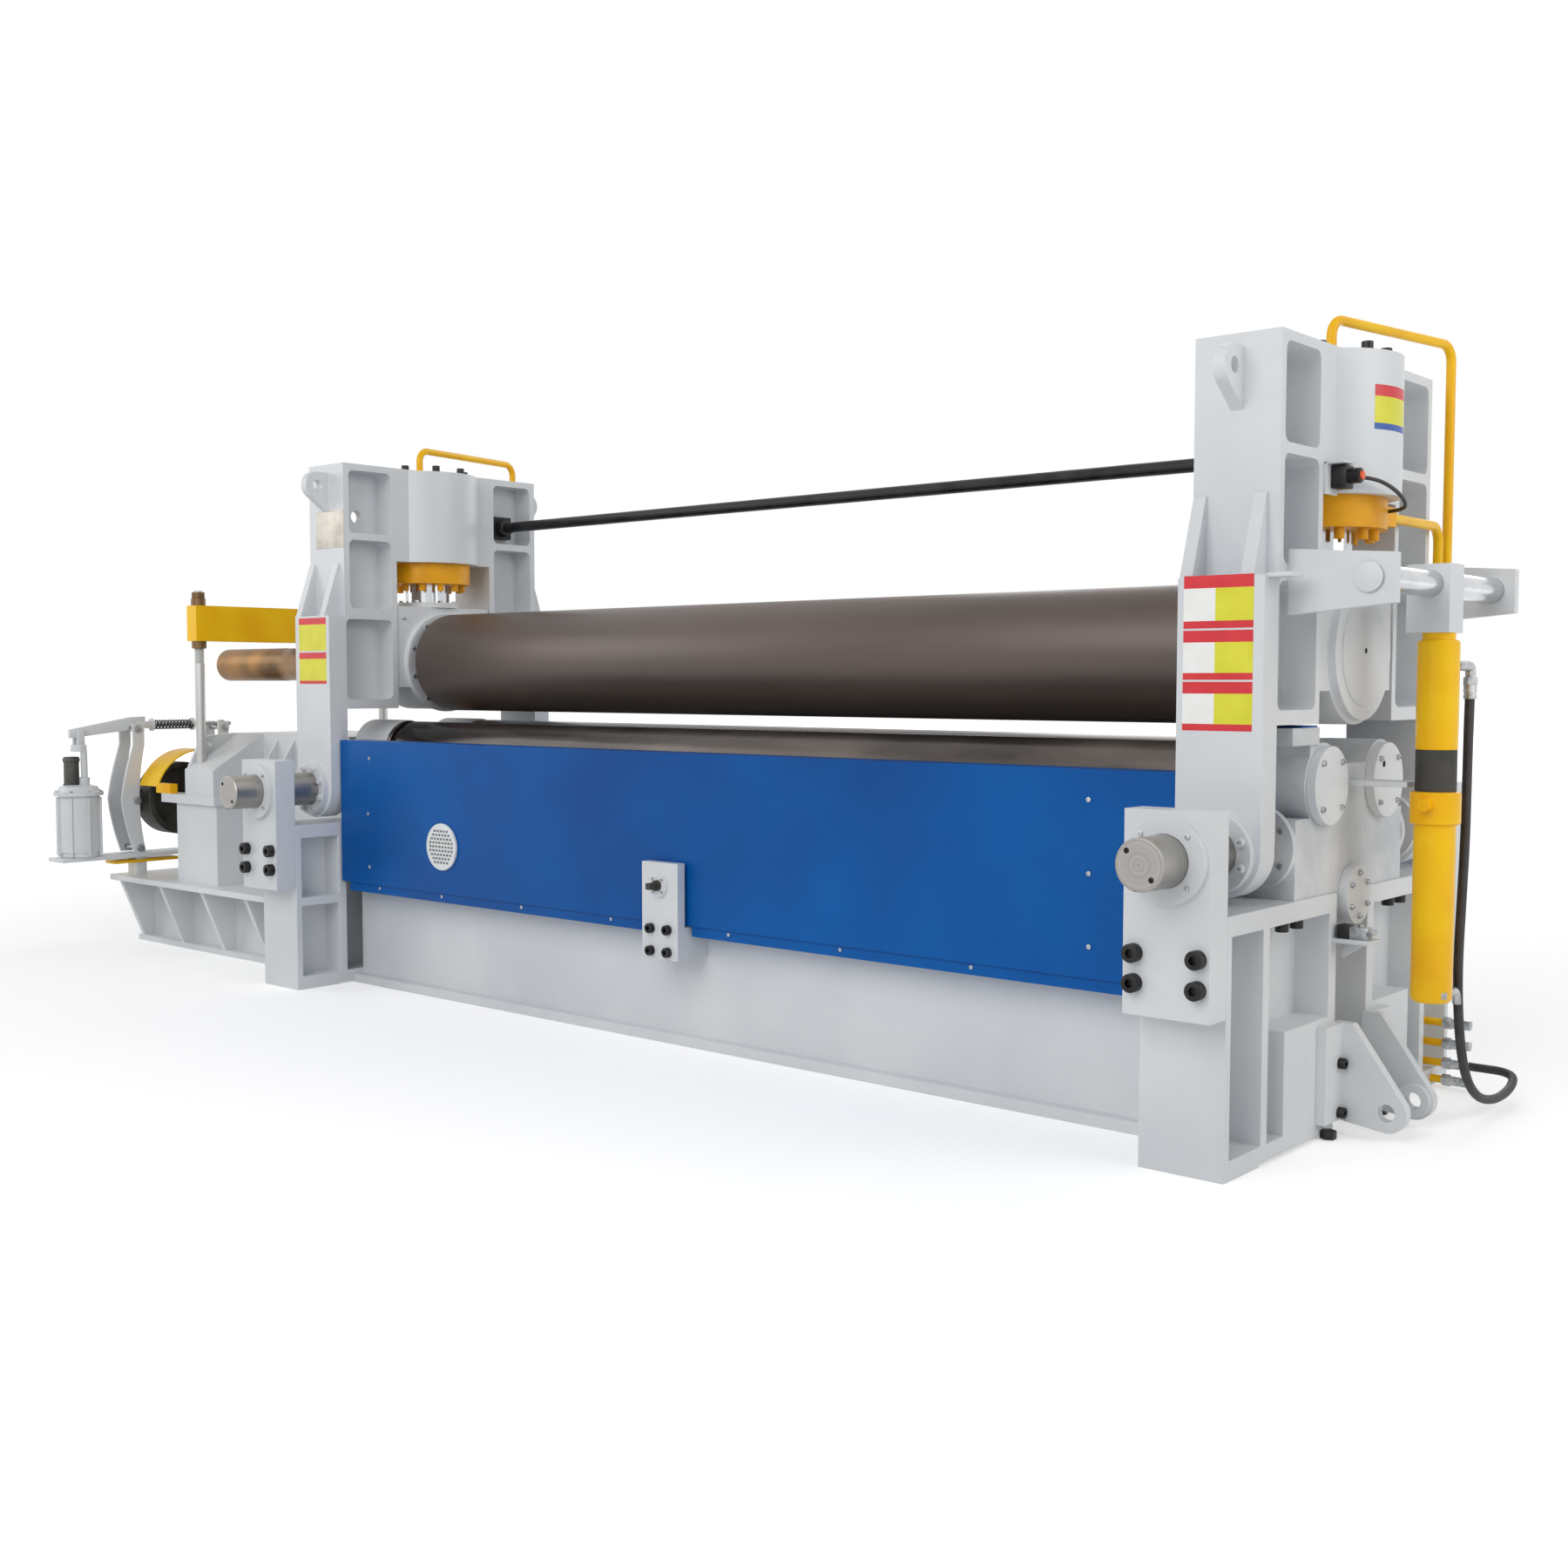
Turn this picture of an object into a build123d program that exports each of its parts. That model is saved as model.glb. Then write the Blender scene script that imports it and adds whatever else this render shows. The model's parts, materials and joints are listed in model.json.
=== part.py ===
from build123d import *
import os

# Hydraulic three-roll plate rolling machine, in millimetres.
# X runs along the rolls (+X is the end with the tilting cylinder, -X the drive end),
# -Y is the front with the blue cover, +Z is up, and Z = 0 is the floor it stands on.

os.makedirs("parts", exist_ok=True)

# Driving dimensions of the whole machine
frame_clear = 4280.0      # clear length between the two end frames
frame_width = 270.0       # width of each end frame along X
foot_half = 850.0         # half depth of a foot, front to back
foot_height = 750.0       # top of the foot's ledge plate
frame_top = 2400.0        # top of the upper frames

# Rolls
top_roll_r = 230.0
top_roll_z = 1490.0
lower_roll_r = 125.0
lower_roll_z = 1085.0
lower_roll_y = 218.0      # half the distance between the lower rolls' axes
roll_end_gap = 60.0       # from a frame's inner face to the roll body
top_journal_r = 150.0
lower_journal_r = 88.0
tail_r = 87.5
tail_length = 1670.0      # tail shaft beyond the left frame

# Clearances
running = 0.05            # radial clearance of a shaft in its bore
guide_gap = 5.0           # bearing block to frame window, each side
bolt_gap = 0.5            # tie rod in the webs

# Guide shafts, their brackets and lugs
shaft_r = 75.0
shaft_z = 905.0
shaft_overhang = 136.0    # shaft end beyond the bracket flange
shaft_chamfer = 4.0
bracket_thick = 100.0
bracket_bottom = 462.0
bracket_top = 1045.0
bracket_ring_r = 125.0
bracket_ring = 20.0

# Upper frame columns
col_front = 570.0         # outer face of the upper column
low_front = 657.0         # outer face of the lug plate and lower column
col_inner = 277.0         # window side face
col_bottom = 1273.0
ledge_z = 1700.0
lug_plate = 94.0
col_flange = 30.0
frame_web = 40.0
pocket_fillet = 28.0
pocket_levels = ((1316.0, 1687.0), (1737.0, 2052.0), (2084.0, 2370.0))
lug_ring_r = 120.0
lug_ring_front = 30.0
lug_ring_rear = 20.0
gusset_height = 240.0
gusset_thick = 40.0
lifting_lug_reach = 120.0
lifting_lug_thick = 40.0
lifting_lug_hole_r = 24.0

# Main cylinders
main_body_r = 245.0
main_body_bottom = 1965.0
gland_r = 205.0
gland_height = 97.0
piston_r = 105.0
block_bottom = 1370.0
block_top = 1755.0
block_boss_r = 225.0
block_side_gap = 5.0      # bearing block inside the frame's width
end_disc_r = 212.0
end_disc = 25.0
roll_flange_r = 236.0
roll_flange = 25.0

# Foot
foot_web = 40.0
foot_front_plate = 30.0
foot_rib = (583.0, 623.0)
foot_inner_plate = (118.0, 170.0)
foot_ledge = 60.0
foot_floor = 60.0
foot_pad = 12.0
foot_pad_edge = 632.0
foot_fill_y = 475.0       # closing plates beside the right foot's middle
foot_fill_top = 371.0
foot_step_z = (380.0, 420.0)

# Base beam
beam_half = 500.0
beam_top = 690.0
beam_flange_half = 550.0
beam_flange = 40.0

# Lower roll housings
housing_half = 404.0
housing_shoulder = 990.0
housing_barrel_r = 130.0
housing_inset = 10.0      # from the frame's inner and outer faces
housing_bridge = 60.0     # top of the middle above the rolls' axes
housing_flange_r = 130.0
housing_flange = 25.0
roll_cover_r = 120.0
roll_cover = 30.0
small_cover_r = 93.0
small_cover_z = 735.0
tray_y = (-455.0, -270.0)
tray_z = (1210.0, 1262.0)
tray_post_y = (-312.0, -270.0)

# Blue covers
cover_front = 612.0
cover_sheet = 10.0
cover_top = 1130.0
cover_bottom = 480.0
cover_strip_bottom = 440.0
cover_end_gap = 8.0
cover_strip_inset = 50.0
cover_strip_back = 8.0
vent_x = -1380.0
vent_z = 685.0
vent_r = 102.0
vent_thick = 12.0

# Centre bracket
centre_half = 95.0
centre_front = 665.0
centre_plate = 40.0
centre_bottom = 350.0
centre_top = 718.0
centre_foot_top = 475.0
centre_spindle_z = 632.0
centre_notch = 15.0

# Yoke, tilting cylinder and ears at the right-hand end
yoke_arm_front = 508.0
yoke_arm = 35.0
yoke_reach = 314.0
yoke_shaft_x = 240.0      # beyond the frame's outer face
yoke_shaft_z = 1690.0
yoke_shaft_r = 40.0
yoke_shaft_proud = 8.0
link_half = 57.0
tilt_x = 250.0
tilt_r = 61.0
tilt_top = 1523.0
tilt_bottom = 426.0
tilt_collar = (970.0, 1068.0)
tilt_collar_r = 74.0
tilt_pin_z = 1030.0
tilt_pin_r = 20.0
ear_y = 110.0
ear_thick = 36.0
ear_hole_x = 170.0
ear_hole_z = 90.0
ear_hole_r = 27.0
ear_r = 62.0
ear_top = 350.0
ear_flange = 30.0
ear_flange_y = 250.0
ear_spacer_r = 54.0       # round spacer inside the rear ear
ear_spacer = 15.0

# Tie rod between the upper frames
tie_r = 25.0
tie_y = 420.0
tie_z = 2170.0
tie_overhang = 60.0
tie_block = 110.0
tie_block_thick = 45.0

# Oil pipes
pipe_r = 16.0
pipe_over = 125.0         # above the frame top
pipe_side = 22.0          # beyond the frame's outer face
pipe_back = 675.0
pipe_port_y = -10.0
pipe_port_x = 35.0
pipe_bend = 55.0
low_pipe_back = 593.0
gland_port_y = (110.0, 185.0)
gland_port_z = (1885.0, 1945.0)
gland_port_x = (105.0, 175.0)     # from the main cylinder's axis
manifold_y = (570.0, 695.0)
manifold_z = (1610.0, 1650.0)
manifold_reach = 44.0     # beyond the frame's outer face

# Drive end
drive_left = 1730.0       # length of the drive base beyond the left foot
platform_half = 700.0
platform_top = 370.0
platform_thick = 30.0
drive_web_half = 480.0
drive_flange_half = 545.0
gearbox_left = 1130.0     # from the left foot to the gearbox's far face
gearbox_gap = 60.0
gearbox_half = 330.0
gearbox_top = 1130.0
pillar_front = 620.0
pillar_top = 950.0
pillar_x = (810.0, 1080.0)
pillar_low_x = (785.0, 1166.0)
pillar_ledge_x = (773.0, 1284.0)
pillar_ledge = (775.0, 820.0)
pillar_ledge_y = 540.0    # the overhanging part of the ledge starts here
balance_x = 1020.0        # balance beam beyond the left foot
balance_rod_y = 560.0
balance_rod_r = 24.0
balance_half = 600.0
balance_width = 90.0
balance_bottom = 1604.0
balance_height = 180.0
balance_rod_top = 1860.0
balance_rod_low = 600.0
balance_rod_room = 80.0   # bore below the rod for its downward travel

# Drum brake
brake_x = 1590.0          # middle of the drum beyond the left foot
brake_y = -387.0
brake_z = 772.0
drum_r = 195.0
drum_width = 150.0
brake_shaft_r = 45.0
brake_shaft_seat = 60.0   # length of the shaft inside the gearbox
brake_boss_r = 75.0
brake_boss = 25.0         # boss proud of the pillar
shoe_gap = 5.0            # brake shoe to drum
shoe_back = 216.0
shoe_front = 140.0
shoe_half = 110.0
shaft_end_gap = 2.0       # brake shaft's end to the bottom of its bore
thruster_y = -932.0
thruster_r = 105.0
thruster_z = (565.0, 850.0)
brake_base_z = (470.0, 490.0)
guard_r = 270.0
guard_sheet = 8.0
guard_width = 180.0
guard_foot_y = (-640.0, -600.0)
guard_foot_top = 870.0

x_in = frame_clear / 2
x_out = x_in + frame_width
x_mid = x_in + frame_width / 2
roll_half = x_in - roll_end_gap


def block(x, y, z, mode=Mode.ADD):
    """A box between two limits on each axis."""
    with Locations(((x[0] + x[1]) / 2, (y[0] + y[1]) / 2, (z[0] + z[1]) / 2)):
        Box(abs(x[1] - x[0]), abs(y[1] - y[0]), abs(z[1] - z[0]), mode=mode)


def rod_x(y, z, r, x0, x1, mode=Mode.ADD):
    """A round bar along X."""
    with BuildSketch(Plane.YZ.offset(x0)) as section:
        with Locations((y, z)):
            Circle(r)
    extrude(section.sketch, amount=x1 - x0, mode=mode)


def rod_y(x, z, r, y0, y1, mode=Mode.ADD):
    """A round bar along Y, from y0 to the larger y1."""
    with BuildSketch(Plane.XZ.offset(-y1)) as section:
        with Locations((x, z)):
            Circle(r)
    extrude(section.sketch, amount=y1 - y0, mode=mode)


def rod_z(x, y, r, z0, z1, mode=Mode.ADD):
    """A round bar along Z."""
    with BuildSketch(Plane.XY.offset(z0)) as section:
        with Locations((x, y)):
            Circle(r)
    extrude(section.sketch, amount=z1 - z0, mode=mode)


def save(builder, name):
    """Labels a finished piece and writes it to its own file."""
    builder.part.label = name
    export_step(builder.part, f"parts/{name}.step")


# Base beam between the feet
with BuildPart() as base_beam:
    block((-x_in, x_in), (-beam_half, beam_half), (beam_flange, beam_top))
    block((-x_in, x_in), (-beam_flange_half, beam_flange_half), (0, beam_flange))
save(base_beam, "base_beam")


# Feet: welded sections with a middle web, a front and a rear leg
def foot_leg(centre, side):
    """One leg of a foot; side is -1 at the front and 1 at the rear."""
    x = (centre - frame_width / 2, centre + frame_width / 2)
    web = (centre - foot_web / 2, centre + foot_web / 2)
    inner, outer = foot_inner_plate
    ledge = (foot_height - foot_ledge, foot_height)
    block(web, (side * inner, side * foot_half), (foot_pad, foot_height))
    block(x, (side * (foot_half - foot_front_plate), side * foot_half), (0, foot_height))
    block(x, (side * foot_rib[0], side * foot_rib[1]), (foot_pad, foot_height))
    block(x, (side * inner, side * outer), (foot_pad, foot_height))
    block(x, (side * inner, side * foot_half), ledge)
    block(x, (side * inner, side * foot_half), (foot_pad, foot_floor))
    block(x, (side * foot_pad_edge, side * foot_half), (0, foot_pad))


foot_gap_top = small_cover_z - small_cover_r - 40

with BuildPart() as right_foot:
    block((x_mid - foot_web / 2, x_mid + foot_web / 2), (-foot_inner_plate[0], foot_inner_plate[0]),
          (foot_pad, foot_gap_top))
    for side in (-1, 1):
        foot_leg(x_mid, side)
        block((x_mid, x_out), (side * foot_inner_plate[0], side * foot_fill_y),
              (foot_floor, foot_fill_top))
save(right_foot, "right_foot")

with BuildPart() as left_foot:
    block((-x_mid - foot_web / 2, -x_mid + foot_web / 2), (-foot_inner_plate[0], foot_inner_plate[0]),
          (foot_pad, foot_height))
    for side in (-1, 1):
        foot_leg(-x_mid, side)
        block((-x_mid, -x_in), (side * foot_rib[1], side * (foot_half - foot_front_plate)),
              foot_step_z)
save(left_foot, "left_foot")


# Housings of the lower rolls, with bores for the journals
def housing(x0, x1, closed):
    """Bearing housing on a foot's ledge between x0 and x1."""
    block((x0, x1), (-housing_half, housing_half), (foot_height, housing_shoulder))
    block((x0, x1), (-lower_roll_y, lower_roll_y), (foot_height, lower_roll_z + housing_bridge))
    for side in (-1, 1):
        rod_x(side * lower_roll_y, lower_roll_z, housing_barrel_r, x0, x1)
        face = sorted((side * housing_half, side * (housing_half + housing_flange)))
        rod_y((x0 + x1) / 2, shaft_z, housing_flange_r, face[0], face[1])
    if closed:
        rod_x(0, small_cover_z, small_cover_r + 5, x_mid + foot_web, x1)
    for side in (-1, 1):
        rod_x(side * lower_roll_y, lower_roll_z, lower_journal_r + running, x0, x1, Mode.SUBTRACT)


with BuildPart() as right_housing:
    housing(x_in + housing_inset, x_out - housing_inset, True)
    block((x_in + housing_inset, x_out), tray_y, tray_z)
    block((x_in + housing_inset, x_out - housing_inset), tray_post_y,
          (lower_roll_z + lower_journal_r, tray_z[0]))
save(right_housing, "right_housing")

with BuildPart() as left_housing:
    housing(-x_out + housing_inset, -x_in - housing_inset, False)
save(left_housing, "left_housing")

cover_face = x_out - housing_inset
with BuildPart() as roll_end_covers:
    for side in (-1, 1):
        rod_x(side * lower_roll_y, lower_roll_z, roll_cover_r, cover_face, cover_face + roll_cover)
    rod_x(0, small_cover_z, small_cover_r, cover_face, cover_face + roll_cover)
save(roll_end_covers, "roll_end_covers")

# Guide shafts and the bolted brackets that carry their outer ends
shaft_end = foot_half + bracket_thick + bracket_ring + shaft_overhang
shaft_inner = housing_half + housing_flange

for end, centre in (("right", x_mid), ("left", -x_mid)):
    for face, side in (("front", -1), ("rear", 1)):
        plate = sorted((side * foot_half, side * (foot_half + bracket_thick)))
        ring = sorted((side * (foot_half + bracket_thick),
                       side * (foot_half + bracket_thick + bracket_ring)))
        with BuildPart() as bracket:
            block((centre - frame_width / 2, centre + frame_width / 2), plate,
                  (bracket_bottom, bracket_top))
            rod_y(centre, shaft_z, bracket_ring_r, ring[0], ring[1])
            rod_y(centre, shaft_z, shaft_r + running, plate[0] - 50, plate[1] + 50, Mode.SUBTRACT)
        save(bracket, f"{end}_{face}_bracket")
    with BuildPart() as guide_shafts:
        rod_y(centre, shaft_z, shaft_r, -shaft_end, -shaft_inner)
        rod_y(centre, shaft_z, shaft_r, shaft_inner, shaft_end)
        rims = guide_shafts.edges().filter_by(GeomType.CIRCLE).group_by(Axis.Y)
        chamfer(rims[0] + rims[-1], shaft_chamfer)
    save(guide_shafts, f"{end}_shafts")

# Blue sheet covers, front and rear
for face, side in (("front", -1), ("rear", 1)):
    x = (-x_in + cover_end_gap, x_in - cover_end_gap)
    with BuildPart() as cover:
        block(x, (side * (cover_front - cover_sheet), side * cover_front), (cover_bottom, cover_top))
        block(x, (side * beam_half, side * cover_front), (cover_top - cover_sheet, cover_top))
        for end in (-1, 1):
            block((end * (x[1] - cover_sheet), end * x[1]), (side * beam_half, side * cover_front),
                  (cover_bottom, cover_top))
        block((x[0] + cover_strip_inset, x[1] - cover_strip_inset),
              (side * beam_half, side * (cover_front - cover_strip_back)),
              (cover_strip_bottom, cover_bottom))
        if side < 0:
            block((-centre_half - centre_notch, centre_half + centre_notch),
                  (-cover_front - 10, -beam_half + 10),
                  (cover_strip_bottom - 10, cover_bottom), Mode.SUBTRACT)
    save(cover, f"{face}_cover")

with BuildPart() as vent_grille:
    rod_y(vent_x, vent_z, vent_r, -cover_front - vent_thick, -cover_front)
    slot_len, slot_h = 18.0, 7.0
    with BuildSketch(Plane.XZ.offset(cover_front)):
        with Locations((vent_x, vent_z)):
            with GridLocations(60, 40, 2, 4):
                SlotOverall(slot_len, slot_h)
    extrude(amount=vent_thick, mode=Mode.SUBTRACT)
save(vent_grille, "vent_grille")

# Centre bracket with its square-ended spindle
with BuildPart() as centre_bracket:
    block((-centre_half, centre_half), (-centre_front, -centre_front + centre_plate),
          (centre_bottom, centre_top))
    block((-centre_half, centre_half), (-centre_front + centre_plate, -beam_half),
          (centre_bottom, centre_foot_top))
    rod_y(0, centre_spindle_z, 45, -centre_front - 12, -centre_front)
    rod_y(0, centre_spindle_z, 20 + running, -centre_front - 20, -centre_front + centre_plate + 5,
          Mode.SUBTRACT)
save(centre_bracket, "centre_bracket")

with BuildPart() as centre_spindle:
    rod_y(0, centre_spindle_z, 20, -centre_front - 25, -cover_front - 1)
    block((-12, 12), (-centre_front - 62, -centre_front - 25),
          (centre_spindle_z - 12, centre_spindle_z + 12))
save(centre_spindle, "centre_spindle")

# Hinge ears bolted to the right foot
with BuildPart() as hinge_ears:
    for side in (-1, 1):
        ear = sorted((side * (ear_y - ear_thick / 2), side * (ear_y + ear_thick / 2)))
        with BuildSketch(Plane.XZ.offset(-ear[1])):
            with Locations((x_out + 30, (ear_top + 50) / 2)):
                Rectangle(60, ear_top - 50)
            with Locations((x_out + ear_hole_x, ear_hole_z)):
                Circle(ear_r)
            make_hull()
            with Locations((x_out + ear_hole_x, ear_hole_z)):
                Circle(ear_hole_r, mode=Mode.SUBTRACT)
        extrude(amount=ear_thick)
        block((x_out, x_out + ear_flange), (side * ear_y, side * ear_flange_y), (50, ear_top))
    ear_inner = ear_y - ear_thick / 2
    rod_y(x_out + ear_hole_x, ear_hole_z, ear_spacer_r, ear_inner - ear_spacer, ear_inner)
    rod_y(x_out + ear_hole_x, ear_hole_z, ear_hole_r, ear_inner - ear_spacer, ear_inner, Mode.SUBTRACT)
save(hinge_ears, "hinge_ears")

# Limit switch on its shelf, and the flat bar beside the tilting cylinder
with BuildPart() as limit_switch:
    block((x_out, x_out + 120), (-160, -70), (600, 612))
    block((x_out + 20, x_out + 105), (-135, -95), (612, 652))
    rod_y(x_out + 112, 640, 9, -140, -95)
save(limit_switch, "limit_switch")

with BuildPart() as cylinder_stay:
    block((x_out - 10, x_out + 180), (-45, 45), (1077, 1095))
save(cylinder_stay, "cylinder_stay")

# Drive base with its platform and tapered plates
drive_x0 = -x_out - drive_left
with BuildPart() as drive_base:
    x = (drive_x0, -x_out)
    under = platform_top - platform_thick
    block(x, (-platform_half, platform_half), (under, platform_top))
    block(x, (-drive_web_half, drive_web_half), (0, under))
    block(x, (-drive_flange_half, drive_flange_half), (0, 30))
    for side in (-1, 1):
        for k in range(5):
            gx = drive_x0 + 40 + k * (drive_left - 80 - 30) / 4
            with BuildSketch(Plane.YZ.offset(gx)):
                with BuildLine():
                    Polyline((side * drive_web_half, 30), (side * drive_flange_half, 30),
                             (side * (platform_half - 30), under), (side * drive_web_half, under),
                             close=True)
                make_face()
            extrude(amount=30)
save(drive_base, "drive_base")

# Gearbox with a sloped pillar at the front and at the rear
with BuildPart() as gearbox:
    gx = (-x_out - gearbox_left, -x_out - gearbox_gap)
    block(gx, (-gearbox_half, gearbox_half), (platform_top, gearbox_top))
    for side in (-1, 1):
        with BuildSketch(Plane.YZ.offset(-x_out - pillar_x[1])):
            with BuildLine():
                Polyline((side * gearbox_half, platform_top), (side * pillar_front, platform_top),
                         (side * pillar_front, pillar_top), (side * gearbox_half, gearbox_top),
                         close=True)
            make_face()
        extrude(amount=pillar_x[1] - pillar_x[0])
        block((-x_out - pillar_low_x[1], -x_out - pillar_low_x[0]),
              (side * gearbox_half, side * pillar_front), (platform_top, pillar_ledge[0]))
        block((-x_out - pillar_low_x[1], -x_out - pillar_ledge_x[0]),
              (side * gearbox_half, side * (pillar_front + 20)), pillar_ledge)
        block((-x_out - pillar_ledge_x[1], -x_out - pillar_low_x[1]),
              (side * pillar_ledge_y, side * (pillar_front + 20)), pillar_ledge)
        rod_z(-x_out - balance_x, side * balance_rod_y, balance_rod_r + running,
              balance_rod_low - balance_rod_room, gearbox_top, Mode.SUBTRACT)
    boss_face = -x_out - pillar_low_x[1] - brake_boss
    seat_end = -x_out - pillar_low_x[1] + brake_shaft_seat
    rod_x(brake_y, brake_z, brake_boss_r, boss_face, seat_end + brake_boss)
    rod_x(brake_y, brake_z, brake_shaft_r + running, boss_face, seat_end, Mode.SUBTRACT)
save(gearbox, "gearbox")

# Drum brake: stand, arms, lever and thruster
bx = -x_out - brake_x
with BuildPart() as brake_stand:
    half = 45.0
    block((bx - half, bx + half), (thruster_y - 130, brake_y + 280), brake_base_z)
    block((bx - half, bx + half), (brake_y - 260, brake_y - 200), (platform_top, brake_base_z[0]))
    block((bx - half, bx + half), (brake_y + 200, brake_y + 260), (platform_top, brake_base_z[0]))
    for side in (-1, 1):
        arm = (brake_y + side * 215, brake_y + side * 265)
        block((bx - 25, bx + 25), arm, (brake_base_z[1], 1210))
        block((bx - half, bx + half), (brake_y + side * shoe_front, brake_y + side * shoe_back),
              (brake_z - shoe_half, brake_z + shoe_half))
    rod_x(brake_y, brake_z, drum_r + shoe_gap, bx - half, bx + half, Mode.SUBTRACT)
    rod_y(bx, 1165, 12, brake_y - 290, brake_y + 330)
    block((bx - 20, bx + 20), (thruster_y - 40, brake_y - 215), (1175, 1215))
save(brake_stand, "brake_stand")

with BuildPart() as brake_thruster:
    rod_z(bx, thruster_y, thruster_r, brake_base_z[1], thruster_z[1])
    rod_z(bx, thruster_y, 45, thruster_z[1], 1000)
    rod_z(bx, thruster_y, 14, 1000, 1175)
save(brake_thruster, "brake_thruster")

with BuildPart() as drum_guard:
    gx0 = bx + drum_width / 2 + 20
    with BuildSketch(Plane.YZ.offset(gx0)):
        with Locations((brake_y, brake_z)):
            Circle(guard_r)
            Circle(guard_r - guard_sheet, mode=Mode.SUBTRACT)
        with Locations((brake_y, brake_z - guard_r / 2 + 40)):
            Rectangle(3 * guard_r, guard_r + 80, mode=Mode.SUBTRACT)
    extrude(amount=guard_width)
    block((gx0 + guard_width - 20, -x_out - pillar_low_x[1] - brake_boss), guard_foot_y,
          (pillar_ledge[1], guard_foot_top))
save(drum_guard, "drum_guard")

with BuildPart() as brake_drum:
    rod_x(brake_y, brake_z, drum_r, bx - drum_width / 2, bx + drum_width / 2)
    rod_x(brake_y, brake_z, brake_shaft_r, bx + drum_width / 2,
          seat_end - shaft_end_gap)
save(brake_drum, "brake_drum")


# Upper frames: two columns joined by the body of the main cylinder
def upper_frame(centre):
    """One end frame about its middle plane."""
    x = (centre - frame_width / 2, centre + frame_width / 2)
    for side in (-1, 1):
        block(x, (side * col_inner, side * col_front), (col_bottom, frame_top))
        block(x, (side * (col_front - 10), side * low_front), (col_bottom, ledge_z))
        for level, (z0, z1) in enumerate(pocket_levels):
            outer = low_front - lug_plate if level == 0 else col_front - col_flange
            inner = col_inner + col_flange
            for face in (-1, 1):
                x_face = centre + face * frame_width / 2
                x_web = centre + face * frame_web / 2
                with BuildSketch(Plane.YZ.offset(min(x_face, x_web))) as pocket:
                    with Locations((side * (outer + inner) / 2, (z0 + z1) / 2)):
                        RectangleRounded(outer - inner, z1 - z0, pocket_fillet)
                extrude(pocket.sketch, amount=abs(x_face - x_web), mode=Mode.SUBTRACT)
        for gx in (centre - frame_width / 2 + 5, centre + frame_width / 2 - 35 - gusset_thick):
            with BuildSketch(Plane.YZ.offset(gx)) as gusset:
                with BuildLine():
                    Polyline((side * (col_front - 5), ledge_z), (side * low_front, ledge_z),
                             (side * (col_front + 8), ledge_z + gusset_height),
                             (side * (col_front - 5), ledge_z + gusset_height), close=True)
                make_face()
            extrude(gusset.sketch, amount=gusset_thick)
        with BuildSketch(Plane.YZ.offset(centre - lifting_lug_thick / 2)) as lifting_lug:
            with Locations((side * (col_front - 2), frame_top - 130)):
                Rectangle(4, 180)
            with Locations((side * (col_front + lifting_lug_reach - 62), frame_top - 100)):
                Circle(62)
            make_hull()
            with Locations((side * (col_front + lifting_lug_reach - 62), frame_top - 100)):
                Circle(lifting_lug_hole_r, mode=Mode.SUBTRACT)
        extrude(lifting_lug.sketch, amount=lifting_lug_thick)
    block(x, (-col_inner, col_inner), (main_body_bottom, frame_top))
    rod_z(centre, 0, main_body_r, main_body_bottom, frame_top - 5)
    rod_z(centre, 0, piston_r + 20, main_body_bottom, main_body_bottom + 160, Mode.SUBTRACT)
    rod_x(tie_y, tie_z, tie_r + bolt_gap, centre - frame_width, centre + frame_width, Mode.SUBTRACT)
    rod_x(-tie_y, tie_z, tie_r + 4, centre - frame_width, centre + frame_width, Mode.SUBTRACT)


with BuildPart() as right_frame:
    upper_frame(x_mid)
save(right_frame, "right_frame")

with BuildPart() as left_frame:
    upper_frame(-x_mid)
save(left_frame, "left_frame")


def frame_lug(centre, side):
    """The lug welded under one column, which slides on a guide shaft."""
    lug = sorted((side * low_front, side * (low_front - lug_plate)))
    with BuildSketch(Plane.XZ.offset(-lug[1])) as lug_shape:
        with Locations((centre, (shaft_z + col_bottom) / 2)):
            Rectangle(frame_width, col_bottom - shaft_z)
        with Locations((centre, shaft_z)):
            Circle(frame_width / 2)
    extrude(lug_shape.sketch, amount=lug_plate)
    rings = sorted((side * (low_front - lug_plate - lug_ring_rear), side * (low_front + lug_ring_front)))
    rod_y(centre, shaft_z, lug_ring_r, rings[0], rings[1])
    rod_y(centre, shaft_z, shaft_r + running, rings[0] - 50, rings[1] + 50, Mode.SUBTRACT)


with BuildPart() as frame_lugs:
    for centre in (-x_mid, x_mid):
        for side in (-1, 1):
            frame_lug(centre, side)
save(frame_lugs, "frame_lugs")

with BuildPart() as cylinder_glands:
    for centre in (-x_mid, x_mid):
        side = 1 if centre > 0 else -1
        rod_z(centre, 0, gland_r, main_body_bottom - gland_height, main_body_bottom)
        block((centre + side * gland_port_x[0], centre + side * gland_port_x[1]),
              gland_port_y, gland_port_z)
        rod_z(centre, 0, piston_r + running, main_body_bottom - gland_height, main_body_bottom,
              Mode.SUBTRACT)
save(cylinder_glands, "cylinder_glands")

with BuildPart() as tie_rod:
    rod_x(tie_y, tie_z, tie_r, -x_mid - tie_overhang, x_mid + tie_overhang)
    for side in (-1, 1):
        face = side * (x_mid - frame_web / 2)
        block((face - side * tie_block_thick, face), (tie_y - tie_block / 2, tie_y + tie_block / 2),
              (tie_z - tie_block / 2, tie_z + tie_block / 2))
save(tie_rod, "tie_rod")

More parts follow.
